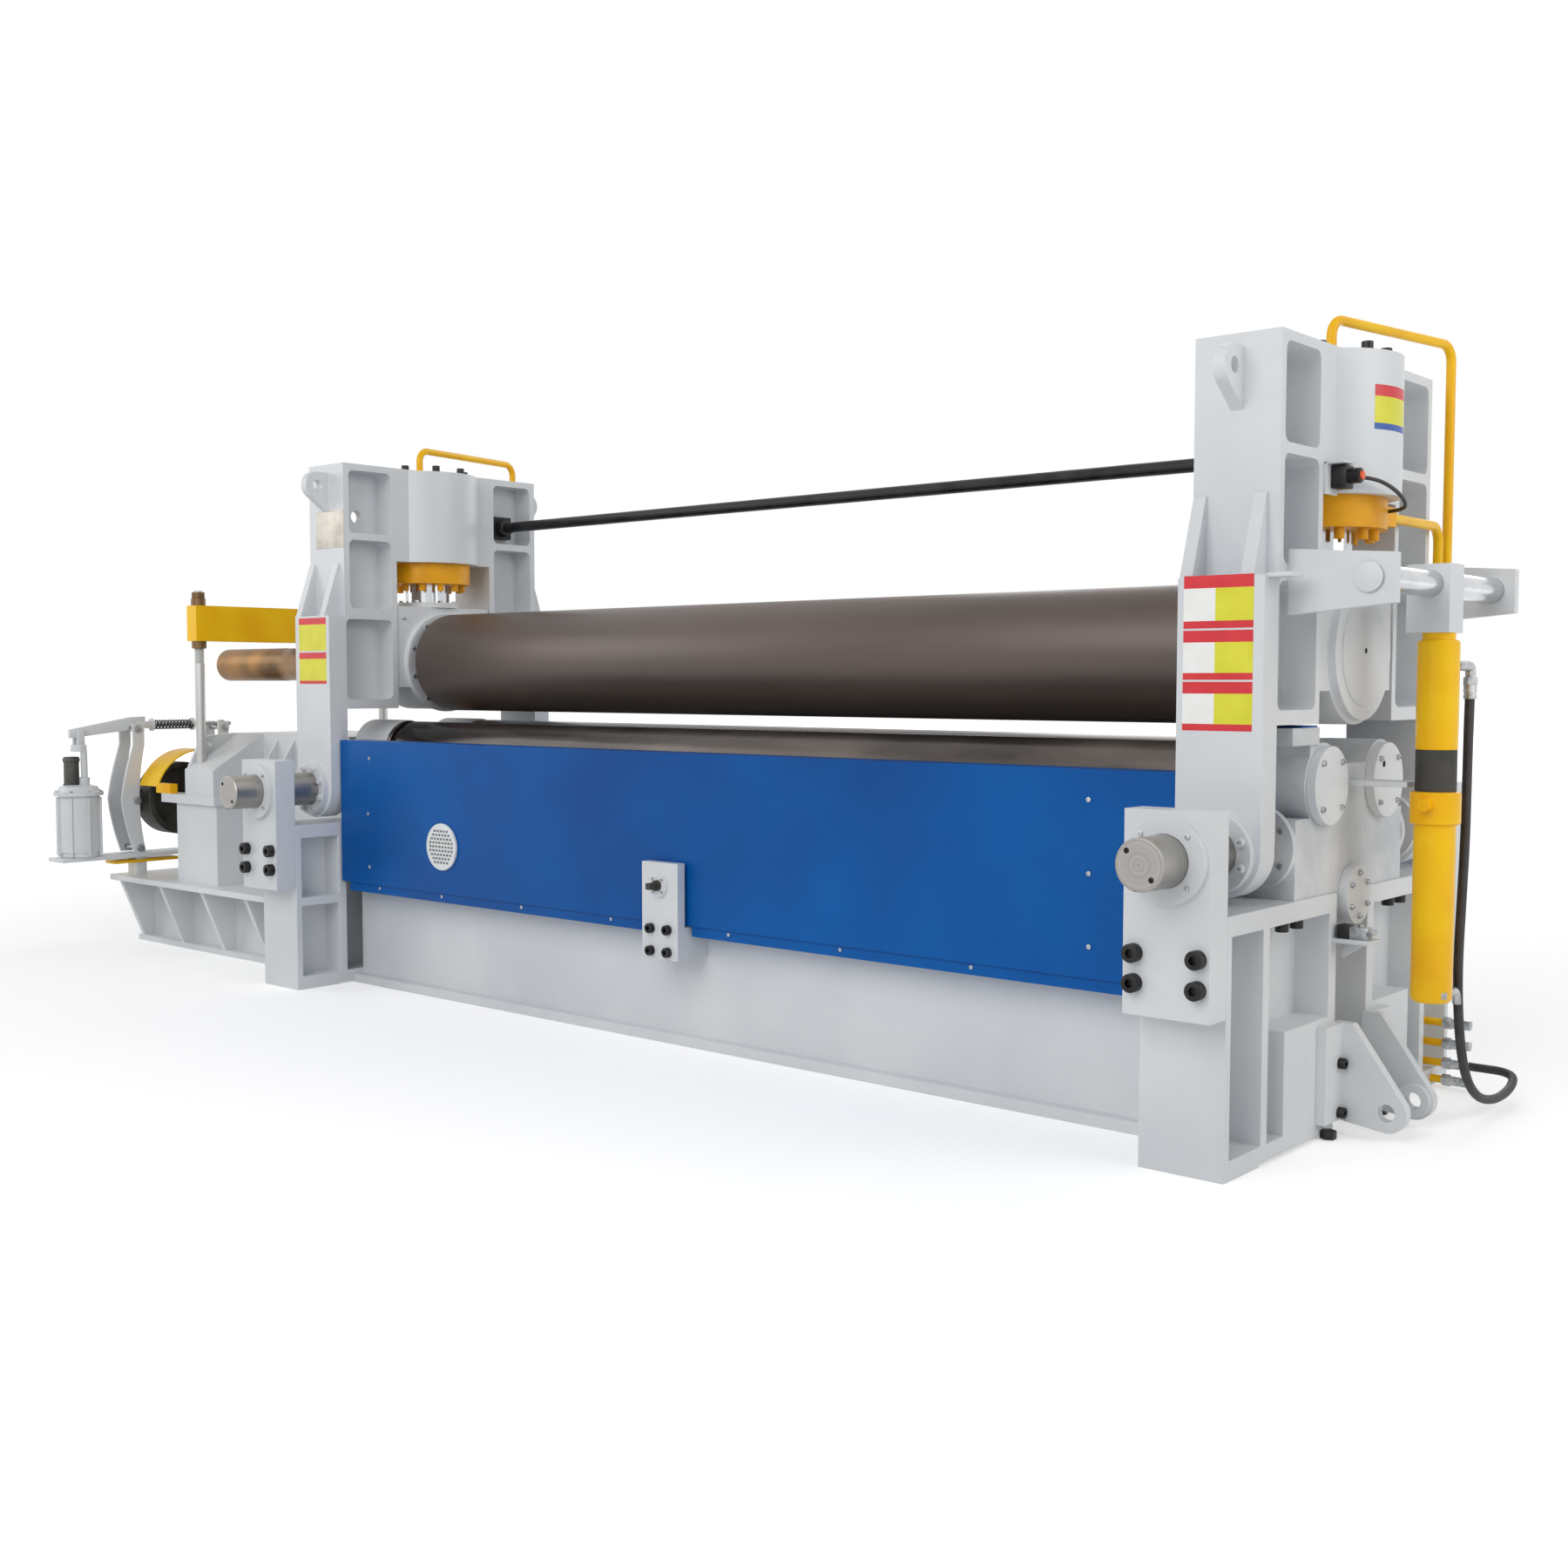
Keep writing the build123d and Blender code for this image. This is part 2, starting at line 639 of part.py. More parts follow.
with BuildPart() as oil_pipes:
    for side in (-1, 1):
        route = [(side * (x_mid + pipe_port_x), pipe_port_y, frame_top),
                 (side * (x_mid + pipe_port_x), pipe_port_y, frame_top + pipe_over),
                 (side * (x_out + pipe_side), pipe_back, frame_top + pipe_over),
                 (side * (x_out + pipe_side), pipe_back, manifold_z[1])]
        with BuildLine() as path:
            FilletPolyline(*route, radius=pipe_bend)
        with BuildSketch(Plane(origin=route[0], z_dir=(0, 0, 1))):
            Circle(pipe_r)
        sweep(path=path.line)
        low_z = (gland_port_z[0] + gland_port_z[1]) / 2
        low_route = [(side * (x_out + pipe_side), gland_port_y[1], low_z),
                     (side * (x_out + pipe_side), low_pipe_back, low_z),
                     (side * (x_out + pipe_side), low_pipe_back, manifold_z[1])]
        with BuildLine() as low_path:
            FilletPolyline(*low_route, radius=pipe_bend)
        with BuildSketch(Plane(origin=low_route[0], z_dir=(0, 1, 0))):
            Circle(pipe_r)
        sweep(path=low_path.line)
        block((side * x_out, side * (x_out + manifold_reach)), manifold_y, manifold_z)
save(oil_pipes, "oil_pipes")

# Yoke, its shaft and link block, and the tilting cylinder that hangs from it
yx = x_out + yoke_shaft_x
with BuildPart() as yoke_arms:
    for side in (-1, 1):
        arm = sorted((side * yoke_arm_front, side * (yoke_arm_front - yoke_arm)))
        with BuildSketch(Plane.XZ.offset(-arm[1])):
            with BuildLine():
                Polyline((x_out, 1590), (x_out + yoke_reach, 1617), (x_out + yoke_reach, 1757),
                         (x_out, 1780), close=True)
            make_face()
            with Locations((yx, yoke_shaft_z)):
                Circle(yoke_shaft_r + running, mode=Mode.SUBTRACT)
        extrude(amount=yoke_arm)
save(yoke_arms, "yoke_arms")

with BuildPart() as yoke_shaft:
    rod_y(yx, yoke_shaft_z, yoke_shaft_r, -yoke_arm_front - yoke_shaft_proud,
          yoke_arm_front + yoke_shaft_proud)
save(yoke_shaft, "yoke_shaft")

with BuildPart() as link_block:
    block((yx - 70, yx + 60), (-link_half, link_half), (1545, 1750))
    rod_y(yx, yoke_shaft_z, yoke_shaft_r + running, -link_half, link_half, Mode.SUBTRACT)
save(link_block, "link_block")

with BuildPart() as tilt_cylinder:
    tx = x_out + tilt_x
    rod_z(tx, 0, tilt_r, tilt_bottom, tilt_top)
    rod_z(tx, 0, tilt_collar_r, tilt_collar[0], tilt_collar[1])
    rod_z(tx, 0, 48, tilt_top, 1545)
    rod_y(tx, tilt_pin_z, tilt_pin_r, -105, 105)
save(tilt_cylinder, "tilt_cylinder")

# Bearing blocks that slide in the frame windows, with their piston rods
block_half = col_inner - guide_gap
for end, centre in (("right", x_mid), ("left", -x_mid)):
    x = (centre - frame_width / 2 + block_side_gap, centre + frame_width / 2 - block_side_gap)
    inward = -1 if centre > 0 else 1
    with BuildPart() as bearing_block:
        block(x, (-block_half, block_half), (block_bottom, block_top))
        rod_x(0, top_roll_z, block_boss_r, x[0], x[1])
        face = x[0] if inward < 0 else x[1]
        ring = sorted((face, face + inward * roll_flange))
        rod_x(0, top_roll_z, roll_flange_r, ring[0], ring[1])
        rod_x(0, top_roll_z, top_journal_r + running, x[0] - 50, x[1] + 50, Mode.SUBTRACT)
        if centre > 0:
            rod_x(0, top_roll_z, end_disc_r, x[1], x[1] + end_disc)
    save(bearing_block, f"{end}_bearing_block")

with BuildPart() as piston_rods:
    for centre in (-x_mid, x_mid):
        rod_z(centre, 0, piston_r, block_top, main_body_bottom + 80)
save(piston_rods, "piston_rods")

# Balance beam over the tail, with its two rods
with BuildPart() as balance_beam:
    bbx = -x_out - balance_x
    block((bbx - balance_width / 2, bbx + balance_width / 2), (-balance_half, balance_half),
          (balance_bottom, balance_bottom + balance_height))
    for side in (-1, 1):
        rod_z(bbx, side * balance_rod_y, balance_rod_r + running, balance_bottom - 10,
              balance_bottom + balance_height + 10, Mode.SUBTRACT)
save(balance_beam, "balance_beam")

with BuildPart() as balance_rods:
    for side in (-1, 1):
        rod_z(bbx, side * balance_rod_y, balance_rod_r, balance_rod_low, balance_rod_top)
        for z0, z1 in ((balance_bottom - 38, balance_bottom),
                       (balance_bottom + balance_height, balance_bottom + balance_height + 38)):
            with BuildSketch(Plane.XY.offset(z0)):
                with Locations((bbx, side * balance_rod_y)):
                    RegularPolygon(42, 6)
            extrude(amount=z1 - z0)
save(balance_rods, "balance_rods")

# Rolls
journal_end = x_out - 30
with BuildPart() as top_roll:
    rod_x(0, top_roll_z, top_roll_r, -roll_half, roll_half)
    rod_x(0, top_roll_z, top_journal_r, -x_out + 5, journal_end)
    rod_x(0, top_roll_z, tail_r, -x_out - tail_length, -x_out + 5)
save(top_roll, "top_roll")

for face, side in (("front", -1), ("rear", 1)):
    with BuildPart() as lower_roll:
        rod_x(side * lower_roll_y, lower_roll_z, lower_roll_r, -roll_half, roll_half)
        rod_x(side * lower_roll_y, lower_roll_z, lower_journal_r, -x_out + 15, x_out - 15)
    save(lower_roll, f"{face}_lower_roll")
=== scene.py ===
# %% [markdown]
# # A hydraulic plate rolling machine
#
# The machine bends thick plate between one large top roll and two driven lower rolls.
# Its construction is already fixed: every casting, roll, shaft and cover arrives in the
# frame at its real size, in metres, with +Z up and the front along -Y.
# This lesson gives those pieces their finish, softens their edges, and adds what a
# construction model leaves out: screws, hoses, fittings, labels and brake gear.

# %% Load the fixed frame
import json
import math

import bmesh
import bpy
from mathutils import Matrix, Vector


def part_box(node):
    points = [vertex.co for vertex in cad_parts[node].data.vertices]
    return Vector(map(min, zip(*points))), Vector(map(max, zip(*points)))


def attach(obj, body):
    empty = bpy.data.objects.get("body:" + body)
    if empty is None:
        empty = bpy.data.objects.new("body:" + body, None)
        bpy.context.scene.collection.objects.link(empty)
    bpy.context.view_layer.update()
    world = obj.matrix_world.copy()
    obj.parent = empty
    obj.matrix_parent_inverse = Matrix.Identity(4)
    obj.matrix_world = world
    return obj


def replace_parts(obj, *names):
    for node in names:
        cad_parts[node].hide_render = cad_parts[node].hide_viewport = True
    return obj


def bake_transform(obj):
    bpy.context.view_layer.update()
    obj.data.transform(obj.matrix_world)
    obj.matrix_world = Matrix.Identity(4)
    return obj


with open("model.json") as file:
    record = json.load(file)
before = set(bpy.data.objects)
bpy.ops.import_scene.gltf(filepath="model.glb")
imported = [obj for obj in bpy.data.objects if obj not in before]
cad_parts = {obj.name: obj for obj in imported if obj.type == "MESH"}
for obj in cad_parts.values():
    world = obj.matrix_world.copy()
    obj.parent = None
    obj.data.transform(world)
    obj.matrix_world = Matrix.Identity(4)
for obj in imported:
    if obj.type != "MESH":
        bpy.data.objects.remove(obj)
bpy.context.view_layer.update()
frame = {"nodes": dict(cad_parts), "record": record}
bodies = frame["record"]["behaviour"]["bodies"]
body_of = {node: body for body, nodes in bodies.items() for node in nodes}

# %% [markdown]
# ## Places to work from
#
# Shapes are drawn in millimetres, as on a workshop drawing, and turned to metres once,
# when a piece is finished. The main places are measured on the frame instead of being
# typed again, so that a screw keeps sitting on its flange when the flange moves.

# %% Measure the frame
mm = 0.001


def span(node):
    """Lowest and highest corner of a node, in millimetres."""
    return [Vector(c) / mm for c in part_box(node)]


bracket_low, bracket_high = span("right_front_bracket")
x_in, x_out = bracket_low.x, bracket_high.x
x_mid = (x_in + x_out) / 2
bracket_ring_face = -bracket_low.y
ring_thickness = 20
bracket_face = bracket_ring_face - ring_thickness
shaft_low, shaft_high = span("right_shafts")
shaft_z = (shaft_low.z + shaft_high.z) / 2
shaft_end = -shaft_low.y
print("end frames from", x_in, "to", x_out, "shaft height", shaft_z)

# %% [markdown]
# ## Camera
#
# The photograph was taken near the right-hand end, with the camera at chest height and
# tilted down by three degrees. Its place and focal length were solved from the machine's
# vanishing lines. The sensor is taken as 36 mm wide, so the focal length in pixels gives
# the lens in millimetres.

# %% Camera
scene = bpy.context.scene
image_pixels = 1800
focal_pixels = 1957
sensor_width = 36.0
camera_place = Vector((4.5585, -5.1758, 1.400))
camera_heading = Vector((-0.6574, 0.7536, 0))
camera_pitch = math.radians(3.45)

lens = bpy.data.cameras.new("photo_lens")
lens.sensor_width = sensor_width
lens.lens = focal_pixels * sensor_width / image_pixels
camera = bpy.data.objects.new("photo_camera", lens)
scene.collection.objects.link(camera)
gaze = camera_heading.normalized() * math.cos(camera_pitch) - Vector((0, 0, math.sin(camera_pitch)))
camera.location = camera_place
camera.rotation_euler = gaze.to_track_quat("-Z", "Y").to_euler()
scene.camera = camera
scene.view_settings.view_transform = "Standard"
print("lens in millimetres:", round(lens.lens, 2))

# %% [markdown]
# ## Nodes and colours
#
# A finish is a small network of nodes. One function adds a node, sets it and links it,
# so each recipe below reads as a list. Colours are written as on a screen and turned
# to linear light by one function, because the renderer adds light in linear numbers.

# %% Node helper
def linear(screen_hex):
    """A screen colour such as #DBDEE1 as linear red, green, blue and alpha."""
    parts = [int(screen_hex[i:i + 2], 16) / 255 for i in (1, 3, 5)]
    return [p / 12.92 if p <= 0.04045 else ((p + 0.055) / 1.055) ** 2.4 for p in parts] + [1.0]


def add_node(tree, kind, inputs=None, **settings):
    """Adds one node; an input that is another node's output is linked, the rest are set."""
    node = tree.nodes.new(kind)
    for name, value in settings.items():
        setattr(node, name, value)
    for name, value in (inputs or {}).items():
        if isinstance(value, bpy.types.NodeSocket):
            tree.links.new(value, node.inputs[name])
        else:
            node.inputs[name].default_value = value
    return node


# %% [markdown]
# ## Studio
#
# The photograph is cut out on white. A large pale floor and a white world give that
# background, and four broad lamps light the machine from the front, the right-hand
# end, the left and behind. The white comes from what the camera and the reflections
# see, so the machine itself isn't lit any brighter for it. The floor's glow rises with
# distance, which hides the horizon while the machine still stands on a soft shadow.

# %% World and lamps
def directly_seen(tree):
    """One for rays of the camera, a reflection or glass, nought for rays that carry light."""
    rays = add_node(tree, "ShaderNodeLightPath").outputs
    seen = rays["Is Camera Ray"]
    for kind in ("Is Glossy Ray", "Is Transmission Ray"):
        seen = add_node(tree, "ShaderNodeMath", {0: seen, 1: rays[kind]}, operation="MAXIMUM").outputs[0]
    return seen


world = bpy.data.worlds.new("white_room")
scene.world = world
world.use_nodes = True
sky = world.node_tree
sky.nodes.clear()
ambient_light = 0.34
strength = add_node(sky, "ShaderNodeMapRange", {"Value": directly_seen(sky), "To Min": ambient_light, "To Max": 1.0})
backdrop = add_node(sky, "ShaderNodeBackground", {"Color": (1, 1, 1, 1), "Strength": strength.outputs[0]})
add_node(sky, "ShaderNodeOutputWorld", {"Surface": backdrop.outputs[0]})

lamps = (("front_lamp", (1.5, -7.5, 5.5), (0.5, 0, 1.2), 6.0, 300),
         ("end_lamp", (8.5, 0.5, 4.5), (1.5, 0, 1.2), 5.0, 185),
         ("left_lamp", (-7.5, -4.5, 4.0), (-2.5, 0, 1.0), 4.0, 105),
         ("rear_lamp", (-1.0, 7.0, 5.5), (0, 0, 1.2), 6.0, 190))
for name, place, target, width, watts in lamps:
    light = bpy.data.lights.new(name, "AREA")
    light.size = width
    light.energy = watts
    lamp = bpy.data.objects.new(name, light)
    scene.collection.objects.link(lamp)
    lamp.location = place
    lamp.rotation_euler = (Vector(target) - Vector(place)).to_track_quat("-Z", "Y").to_euler()
print("lamps:", len(lamps))

# %% Floor
floor_half = 40.0
floor_mesh = bpy.data.meshes.new("floor")
sheet = bmesh.new()
bmesh.ops.create_grid(sheet, x_segments=1, y_segments=1, size=floor_half)
sheet.to_mesh(floor_mesh)
sheet.free()
floor = bpy.data.objects.new("floor", floor_mesh)
scene.collection.objects.link(floor)
floor_finish = bpy.data.materials.new("pale_floor")
floor_finish.use_nodes = True
paint = floor_finish.node_tree
paint.nodes.clear()
floor_glow, glow_from, glow_to = 0.34, 5.0, 14.0
matt = add_node(paint, "ShaderNodeBsdfDiffuse", {"Color": linear("#F2F2F2")})
ground = add_node(paint, "ShaderNodeTexCoord")
away = add_node(paint, "ShaderNodeVectorMath", {0: ground.outputs["Object"]}, operation="LENGTH")
fade = add_node(paint, "ShaderNodeMapRange", {"Value": away.outputs["Value"], "From Min": glow_from,
                                              "From Max": glow_to, "To Min": floor_glow, "To Max": 1.0})
lift = add_node(paint, "ShaderNodeMath", {0: directly_seen(paint), 1: fade.outputs[0]}, operation="MULTIPLY")
glow = add_node(paint, "ShaderNodeEmission", {"Color": (1, 1, 1, 1), "Strength": lift.outputs[0]})
both = add_node(paint, "ShaderNodeAddShader", {0: matt.outputs[0], 1: glow.outputs[0]})
add_node(paint, "ShaderNodeOutputMaterial", {"Surface": both.outputs[0]})
floor_mesh.materials.append(floor_finish)
print("floor reaches", floor_half, "m, its glow is full at", glow_to, "m")

# %% [markdown]
# ## Finishes
#
# Most of the machine is welded steel under sprayed enamel, so the recipes share three
# layers: a broad change of tone from dust and handling, a roughness that follows it,
# and a fine relief from the spray gun or the casting sand. Each recipe names the real
# size of its pattern in millimetres. The orange peel of real enamel is 2 to 3 mm, too
# fine to show from five metres away, so it is drawn at the size given.

# %% Enamel, metal and rubber
finishes = {}


def start_finish(name, colour, roughness, metallic=0.0, specular=None):
    """A new material with its shader set; returns its tree, its shader and object coordinates."""
    material = bpy.data.materials.new(name)
    material.use_nodes = True
    tree = material.node_tree
    shader = tree.nodes["Principled BSDF"]
    shader.inputs["Base Color"].default_value = linear(colour)
    shader.inputs["Roughness"].default_value = roughness
    shader.inputs["Metallic"].default_value = metallic
    if specular:
        shader.inputs["Specular IOR Level"].default_value = specular
    place = add_node(tree, "ShaderNodeTexCoord").outputs["Object"]
    finishes[name] = material
    return tree, shader, place


def noise(tree, place, size, stretch, detail):
    """Fractal noise on the object's own coordinates; size is in millimetres."""
    stretched = add_node(tree, "ShaderNodeMapping", {"Vector": place, "Scale": stretch})
    grains = add_node(tree, "ShaderNodeTexNoise", {"Vector": stretched.outputs[0], "Scale": 1 / (size * mm),
                                                   "Detail": detail})
    return grains.outputs["Fac"]


def tone(coat, colours, size, contrast=(0.35, 0.65), roughness=None, stretch=(1, 1, 1)):
    """Broad patches between two colours; size is the patches' size in millimetres."""
    tree, shader, place = coat
    patches = noise(tree, place, size, stretch, 5.0)
    mask = add_node(tree, "ShaderNodeMapRange", {"Value": patches, "From Min": contrast[0], "From Max": contrast[1]})
    blend = add_node(tree, "ShaderNodeMix", {0: mask.outputs[0], 6: linear(colours[0]), 7: linear(colours[1])},
                     data_type="RGBA")
    tree.links.new(blend.outputs[2], shader.inputs["Base Color"])
    if roughness:
        polish = add_node(tree, "ShaderNodeMapRange", {"Value": patches, "From Min": 0.3, "From Max": 0.7,
                                                       "To Min": roughness[0], "To Max": roughness[1]})
        tree.links.new(polish.outputs[0], shader.inputs["Roughness"])


def relief(coat, size, height, stretch=(1, 1, 1), detail=3.0):
    """Bump with grains of this size and height, both in millimetres."""
    tree, shader, place = coat
    bump = add_node(tree, "ShaderNodeBump", {"Height": noise(tree, place, size, stretch, detail),
                                             "Distance": height * mm, "Strength": 1.0})
    tree.links.new(bump.outputs[0], shader.inputs["Normal"])


# Sprayed machine enamel on welded plate: an even, cool white with a satin gloss
coat = start_finish("white_enamel", "#DBDEE1", 0.36)
tone(coat, ("#D2D6DA", "#E0E3E5"), 700, roughness=(0.30, 0.46))
relief(coat, 14, 0.35)

# The same enamel over a sand casting, where the sand leaves hollows the paint can't fill
coat = start_finish("cast_enamel", "#CFD3D7", 0.45)
tone(coat, ("#B9BEC3", "#DDE0E3"), 260, roughness=(0.38, 0.60))
relief(coat, 45, 5.0, detail=6.0)

# Blue enamel on folded sheet: deeper colour, and panels that are never quite flat
coat = start_finish("blue_enamel", "#0058A4", 0.34, specular=0.18)
tone(coat, ("#004A92", "#005CAA"), 900, roughness=(0.30, 0.44))
relief(coat, 420, 2.2, detail=1.0)

# Yellow enamel, glossier than the white, as on lifting and hydraulic gear
coat = start_finish("yellow_enamel", "#FFC400", 0.30, specular=0.3)
tone(coat, ("#F8B600", "#FFCC0A"), 240, roughness=(0.24, 0.40))
relief(coat, 12, 0.3)

# Yellow enamel of the glands, a shade darker and duller from oil
coat = start_finish("oiled_yellow", "#F2A808", 0.40, specular=0.3)
tone(coat, ("#E09A06", "#FAB20C"), 120, roughness=(0.30, 0.52))
relief(coat, 10, 0.3)

# White moulded plastic of the vent grille
coat = start_finish("white_plastic", "#E4E8E8", 0.42)
tone(coat, ("#DEE3E3", "#EBEEEE"), 60, roughness=(0.38, 0.50))
relief(coat, 4, 0.08)

# Top roll: ground steel under a brown film of rust preventive
coat = start_finish("coated_roll", "#5B4F48", 0.40, 0.25)
tone(coat, ("#544841", "#62554E"), 480, roughness=(0.34, 0.46), stretch=(0.3, 1, 1))
relief(coat, 9, 0.10, stretch=(1, 0.05, 0.05))

# Lower rolls: bare dark steel, with lighter patches stretched along the length
coat = start_finish("patched_roll_steel", "#4A4340", 0.26, 0.55)
tone(coat, ("#3B3532", "#766D67"), 520, contrast=(0.38, 0.72), roughness=(0.16, 0.38), stretch=(0.55, 2.0, 2.0))
relief(coat, 25, 0.25, stretch=(0.3, 2, 2))

# Black oxide on socket screws and the tie rod: dark, thin and slightly oily
coat = start_finish("black_oxide", "#1D1D1F", 0.38, 0.45)
tone(coat, ("#161618", "#2B2A2B"), 90, roughness=(0.30, 0.50))
relief(coat, 6, 0.12)

# Polished chrome of piston rods and cylinder shafts
coat = start_finish("hard_chrome", "#C9CCD0", 0.14, 1.0)
tone(coat, ("#BFC2C6", "#D2D4D7"), 150, roughness=(0.10, 0.22))

# Bright zinc of small screws and hose fittings
coat = start_finish("zinc", "#B4B6B8", 0.34, 0.9)
tone(coat, ("#9DA0A3", "#C4C6C8"), 20, roughness=(0.26, 0.45))

# Bright drawn bar of the balance rods: pale, with fine lines along its length
coat = start_finish("bright_steel", "#C6C6C3", 0.36, 0.6)
tone(coat, ("#B9B9B6", "#D0D0CE"), 160, roughness=(0.30, 0.44), stretch=(3, 3, 0.2))
relief(coat, 4, 0.05, stretch=(1, 1, 0.05))

# Tail shaft of the top roll: warm brown oxide with brighter turned bands
coat = start_finish("brown_oxide", "#7A6043", 0.36, 0.65)
tone(coat, ("#5E4D39", "#A67C4C"), 210, roughness=(0.28, 0.50), stretch=(1, 0.4, 0.4))
relief(coat, 14, 0.2, stretch=(1, 0.1, 0.1))

# Brake drum and linings: grey-black cast iron
coat = start_finish("cast_iron", "#32312D", 0.60, 0.35)
tone(coat, ("#2A2926", "#474540"), 110, roughness=(0.50, 0.72))
relief(coat, 8, 0.5)

# Motor housing: dark grey stove enamel
coat = start_finish("grey_enamel", "#444741", 0.45)
tone(coat, ("#3A3D38", "#51544D"), 60, roughness=(0.38, 0.55))
relief(coat, 6, 0.2)

# Rubber of the hydraulic hoses and cables
coat = start_finish("black_rubber", "#2C292A", 0.55)
tone(coat, ("#242223", "#3B3738"), 40, roughness=(0.48, 0.66))
relief(coat, 5, 0.2)

# Painted shade: a near-black finish for thin discs that stand for the shade inside holes and vents
coat = start_finish("painted_hole_shade", "#0B0B0C", 0.9)
tone(coat, ("#080809", "#121213"), 30)

# Rust-brown and orange primer on the housings' inner faces, between the lower rolls' journals
coat = start_finish("ochre_primer", "#B86F1E", 0.55)
tone(coat, ("#8A5420", "#D98B22"), 70, roughness=(0.42, 0.70))
relief(coat, 12, 0.6)

# Plain vinyl colour blocks, the sensor's orange cap, and the bare aluminium plate
for name, colour, other in (("label_red", "#D22630", "#DB2F38"), ("label_yellow", "#DAD62A", "#E4E03C"),
                            ("label_white", "#F1F1EE", "#F7F7F5"), ("label_blue", "#1F4FA0", "#2A5BAE"),
                            ("orange_cap", "#E8561C", "#F06A2E")):
    coat = start_finish(name, colour, 0.38)
    tone(coat, (colour, other), 80, roughness=(0.32, 0.45))
    relief(coat, 20, 0.05)
coat = start_finish("bare_plate", "#BDB7AD", 0.42, 0.55)
tone(coat, ("#ADA79C", "#C9C4BA"), 60, roughness=(0.36, 0.5))
relief(coat, 3, 0.05, stretch=(0.05, 1, 1))
print("finishes so far:", len(finishes))

# %% [markdown]
# ### Turned steel
#
# The guide shafts were turned on a lathe, so their end faces show fine rings and their
# sides fine lines round the axis. Both come from one noise that reads the distance from
# the shaft's axis and the place along it, instead of a picture wrapped on the shape.

# %% Turned steel
tree, shader, place = start_finish("turned_steel", "#9B9893", 0.36, 0.85)
axes = add_node(tree, "ShaderNodeSeparateXYZ", {0: place})
side = add_node(tree, "ShaderNodeMath", {0: axes.outputs["X"]}, operation="ABSOLUTE")
across = add_node(tree, "ShaderNodeMath", {0: side.outputs[0], 1: x_mid * mm}, operation="SUBTRACT")
rise = add_node(tree, "ShaderNodeMath", {0: axes.outputs["Z"], 1: shaft_z * mm}, operation="SUBTRACT")
flat = add_node(tree, "ShaderNodeCombineXYZ", {"X": across.outputs[0], "Y": rise.outputs[0]})
radius = add_node(tree, "ShaderNodeVectorMath", {0: flat.outputs[0]}, operation="LENGTH")
lathe = add_node(tree, "ShaderNodeCombineXYZ", {"X": radius.outputs["Value"], "Y": axes.outputs["Y"]})
ring_spacing = 5.0
rings = add_node(tree, "ShaderNodeTexNoise", {"Vector": lathe.outputs[0], "Scale": 1 / (ring_spacing * mm),
                                              "Detail": 2.0})
colour = add_node(tree, "ShaderNodeMix", {0: rings.outputs["Fac"], 6: linear("#85817B"), 7: linear("#B4B2AF")},
                  data_type="RGBA")
tree.links.new(colour.outputs[2], shader.inputs["Base Color"])
bump = add_node(tree, "ShaderNodeBump", {"Height": rings.outputs["Fac"], "Distance": 0.25 * mm})
tree.links.new(bump.outputs[0], shader.inputs["Normal"])
print("finishes:", len(finishes))

# %% [markdown]
# ## Shapes
#
# Every small part is one of a few workshop shapes: a bar turned round an axis, a block
# with broken edges, a flat plate cut to an outline, or a screw. Each helper makes its
# own closed bmesh in millimetres with an operator, and a piece is several of these
# joined into one mesh that rides on one body of the machine.

# %% Shape helpers
up, down, to_front, to_rear, to_right = (0, 0, 1), (0, 0, -1), (0, -1, 0), (0, 1, 0), (1, 0, 0)


def closed(bm):
    """Merges doubles, closes open ends and turns all faces outwards."""
    bmesh.ops.remove_doubles(bm, verts=bm.verts, dist=0.01)
    open_edges = [e for e in bm.edges if e.is_boundary]
    if open_edges:
        bmesh.ops.holes_fill(bm, edges=open_edges)
    bmesh.ops.recalc_face_normals(bm, faces=bm.faces)
    return bm


def break_edges(bm, edges, width, segments=2):
    """Rounds edges as a file or a grinder does."""
    bmesh.ops.bevel(bm, geom=list(edges), offset=width, offset_type="OFFSET", segments=segments,
                    profile=0.5, affect="EDGES", material=-1, clamp_overlap=True)


def along(at, axis):
    """The transform that puts a shape made on +Z at a place, facing along an axis."""
    return Matrix.Translation(at) @ Vector(axis).to_track_quat("Z", "Y").to_matrix().to_4x4()


def placed(bm, at, axis):
    """Moves a shape made on +Z to its place and closes it."""
    bmesh.ops.transform(bm, matrix=along(at, axis), verts=bm.verts)
    return closed(bm)


def spun(bm, outline, at, axis, steps):
    """Spins an outline once round +Z and sets the shape at its place."""
    bmesh.ops.spin(bm, geom=outline, cent=(0, 0, 0), axis=(0, 0, 1), angle=math.tau, steps=steps, use_merge=True)
    return placed(bm, at, axis)


def turned(at, axis, profile, steps=40):
    """A round part from (radius, height) points that start and end on the axis."""
    bm = bmesh.new()
    points = [bm.verts.new((r, 0, h)) for r, h in profile]
    edges = [bm.edges.new(pair) for pair in zip(points, points[1:])]
    return spun(bm, points + edges, at, axis, steps)


def disc(at, axis, radius, height, edge=1.5, steps=40):
    """A round plate with a broken rim, standing on its place."""
    rim = ((radius, 0), (radius, height - edge), (radius - edge * 0.3, height - edge * 0.3), (radius - edge, height))
    return turned(at, axis, ((0, 0), *rim, (0, height)), steps)


def block(low, high, edge=2.0, segments=2):
    """A rectangular block with broken edges."""
    low, high = Vector(low), Vector(high)
    bm = bmesh.new()
    bmesh.ops.create_cube(bm, size=1)
    bmesh.ops.scale(bm, vec=high - low, verts=bm.verts)
    bmesh.ops.translate(bm, vec=(low + high) / 2, verts=bm.verts)
    if edge:
        break_edges(bm, bm.edges, edge, segments)
    return closed(bm)


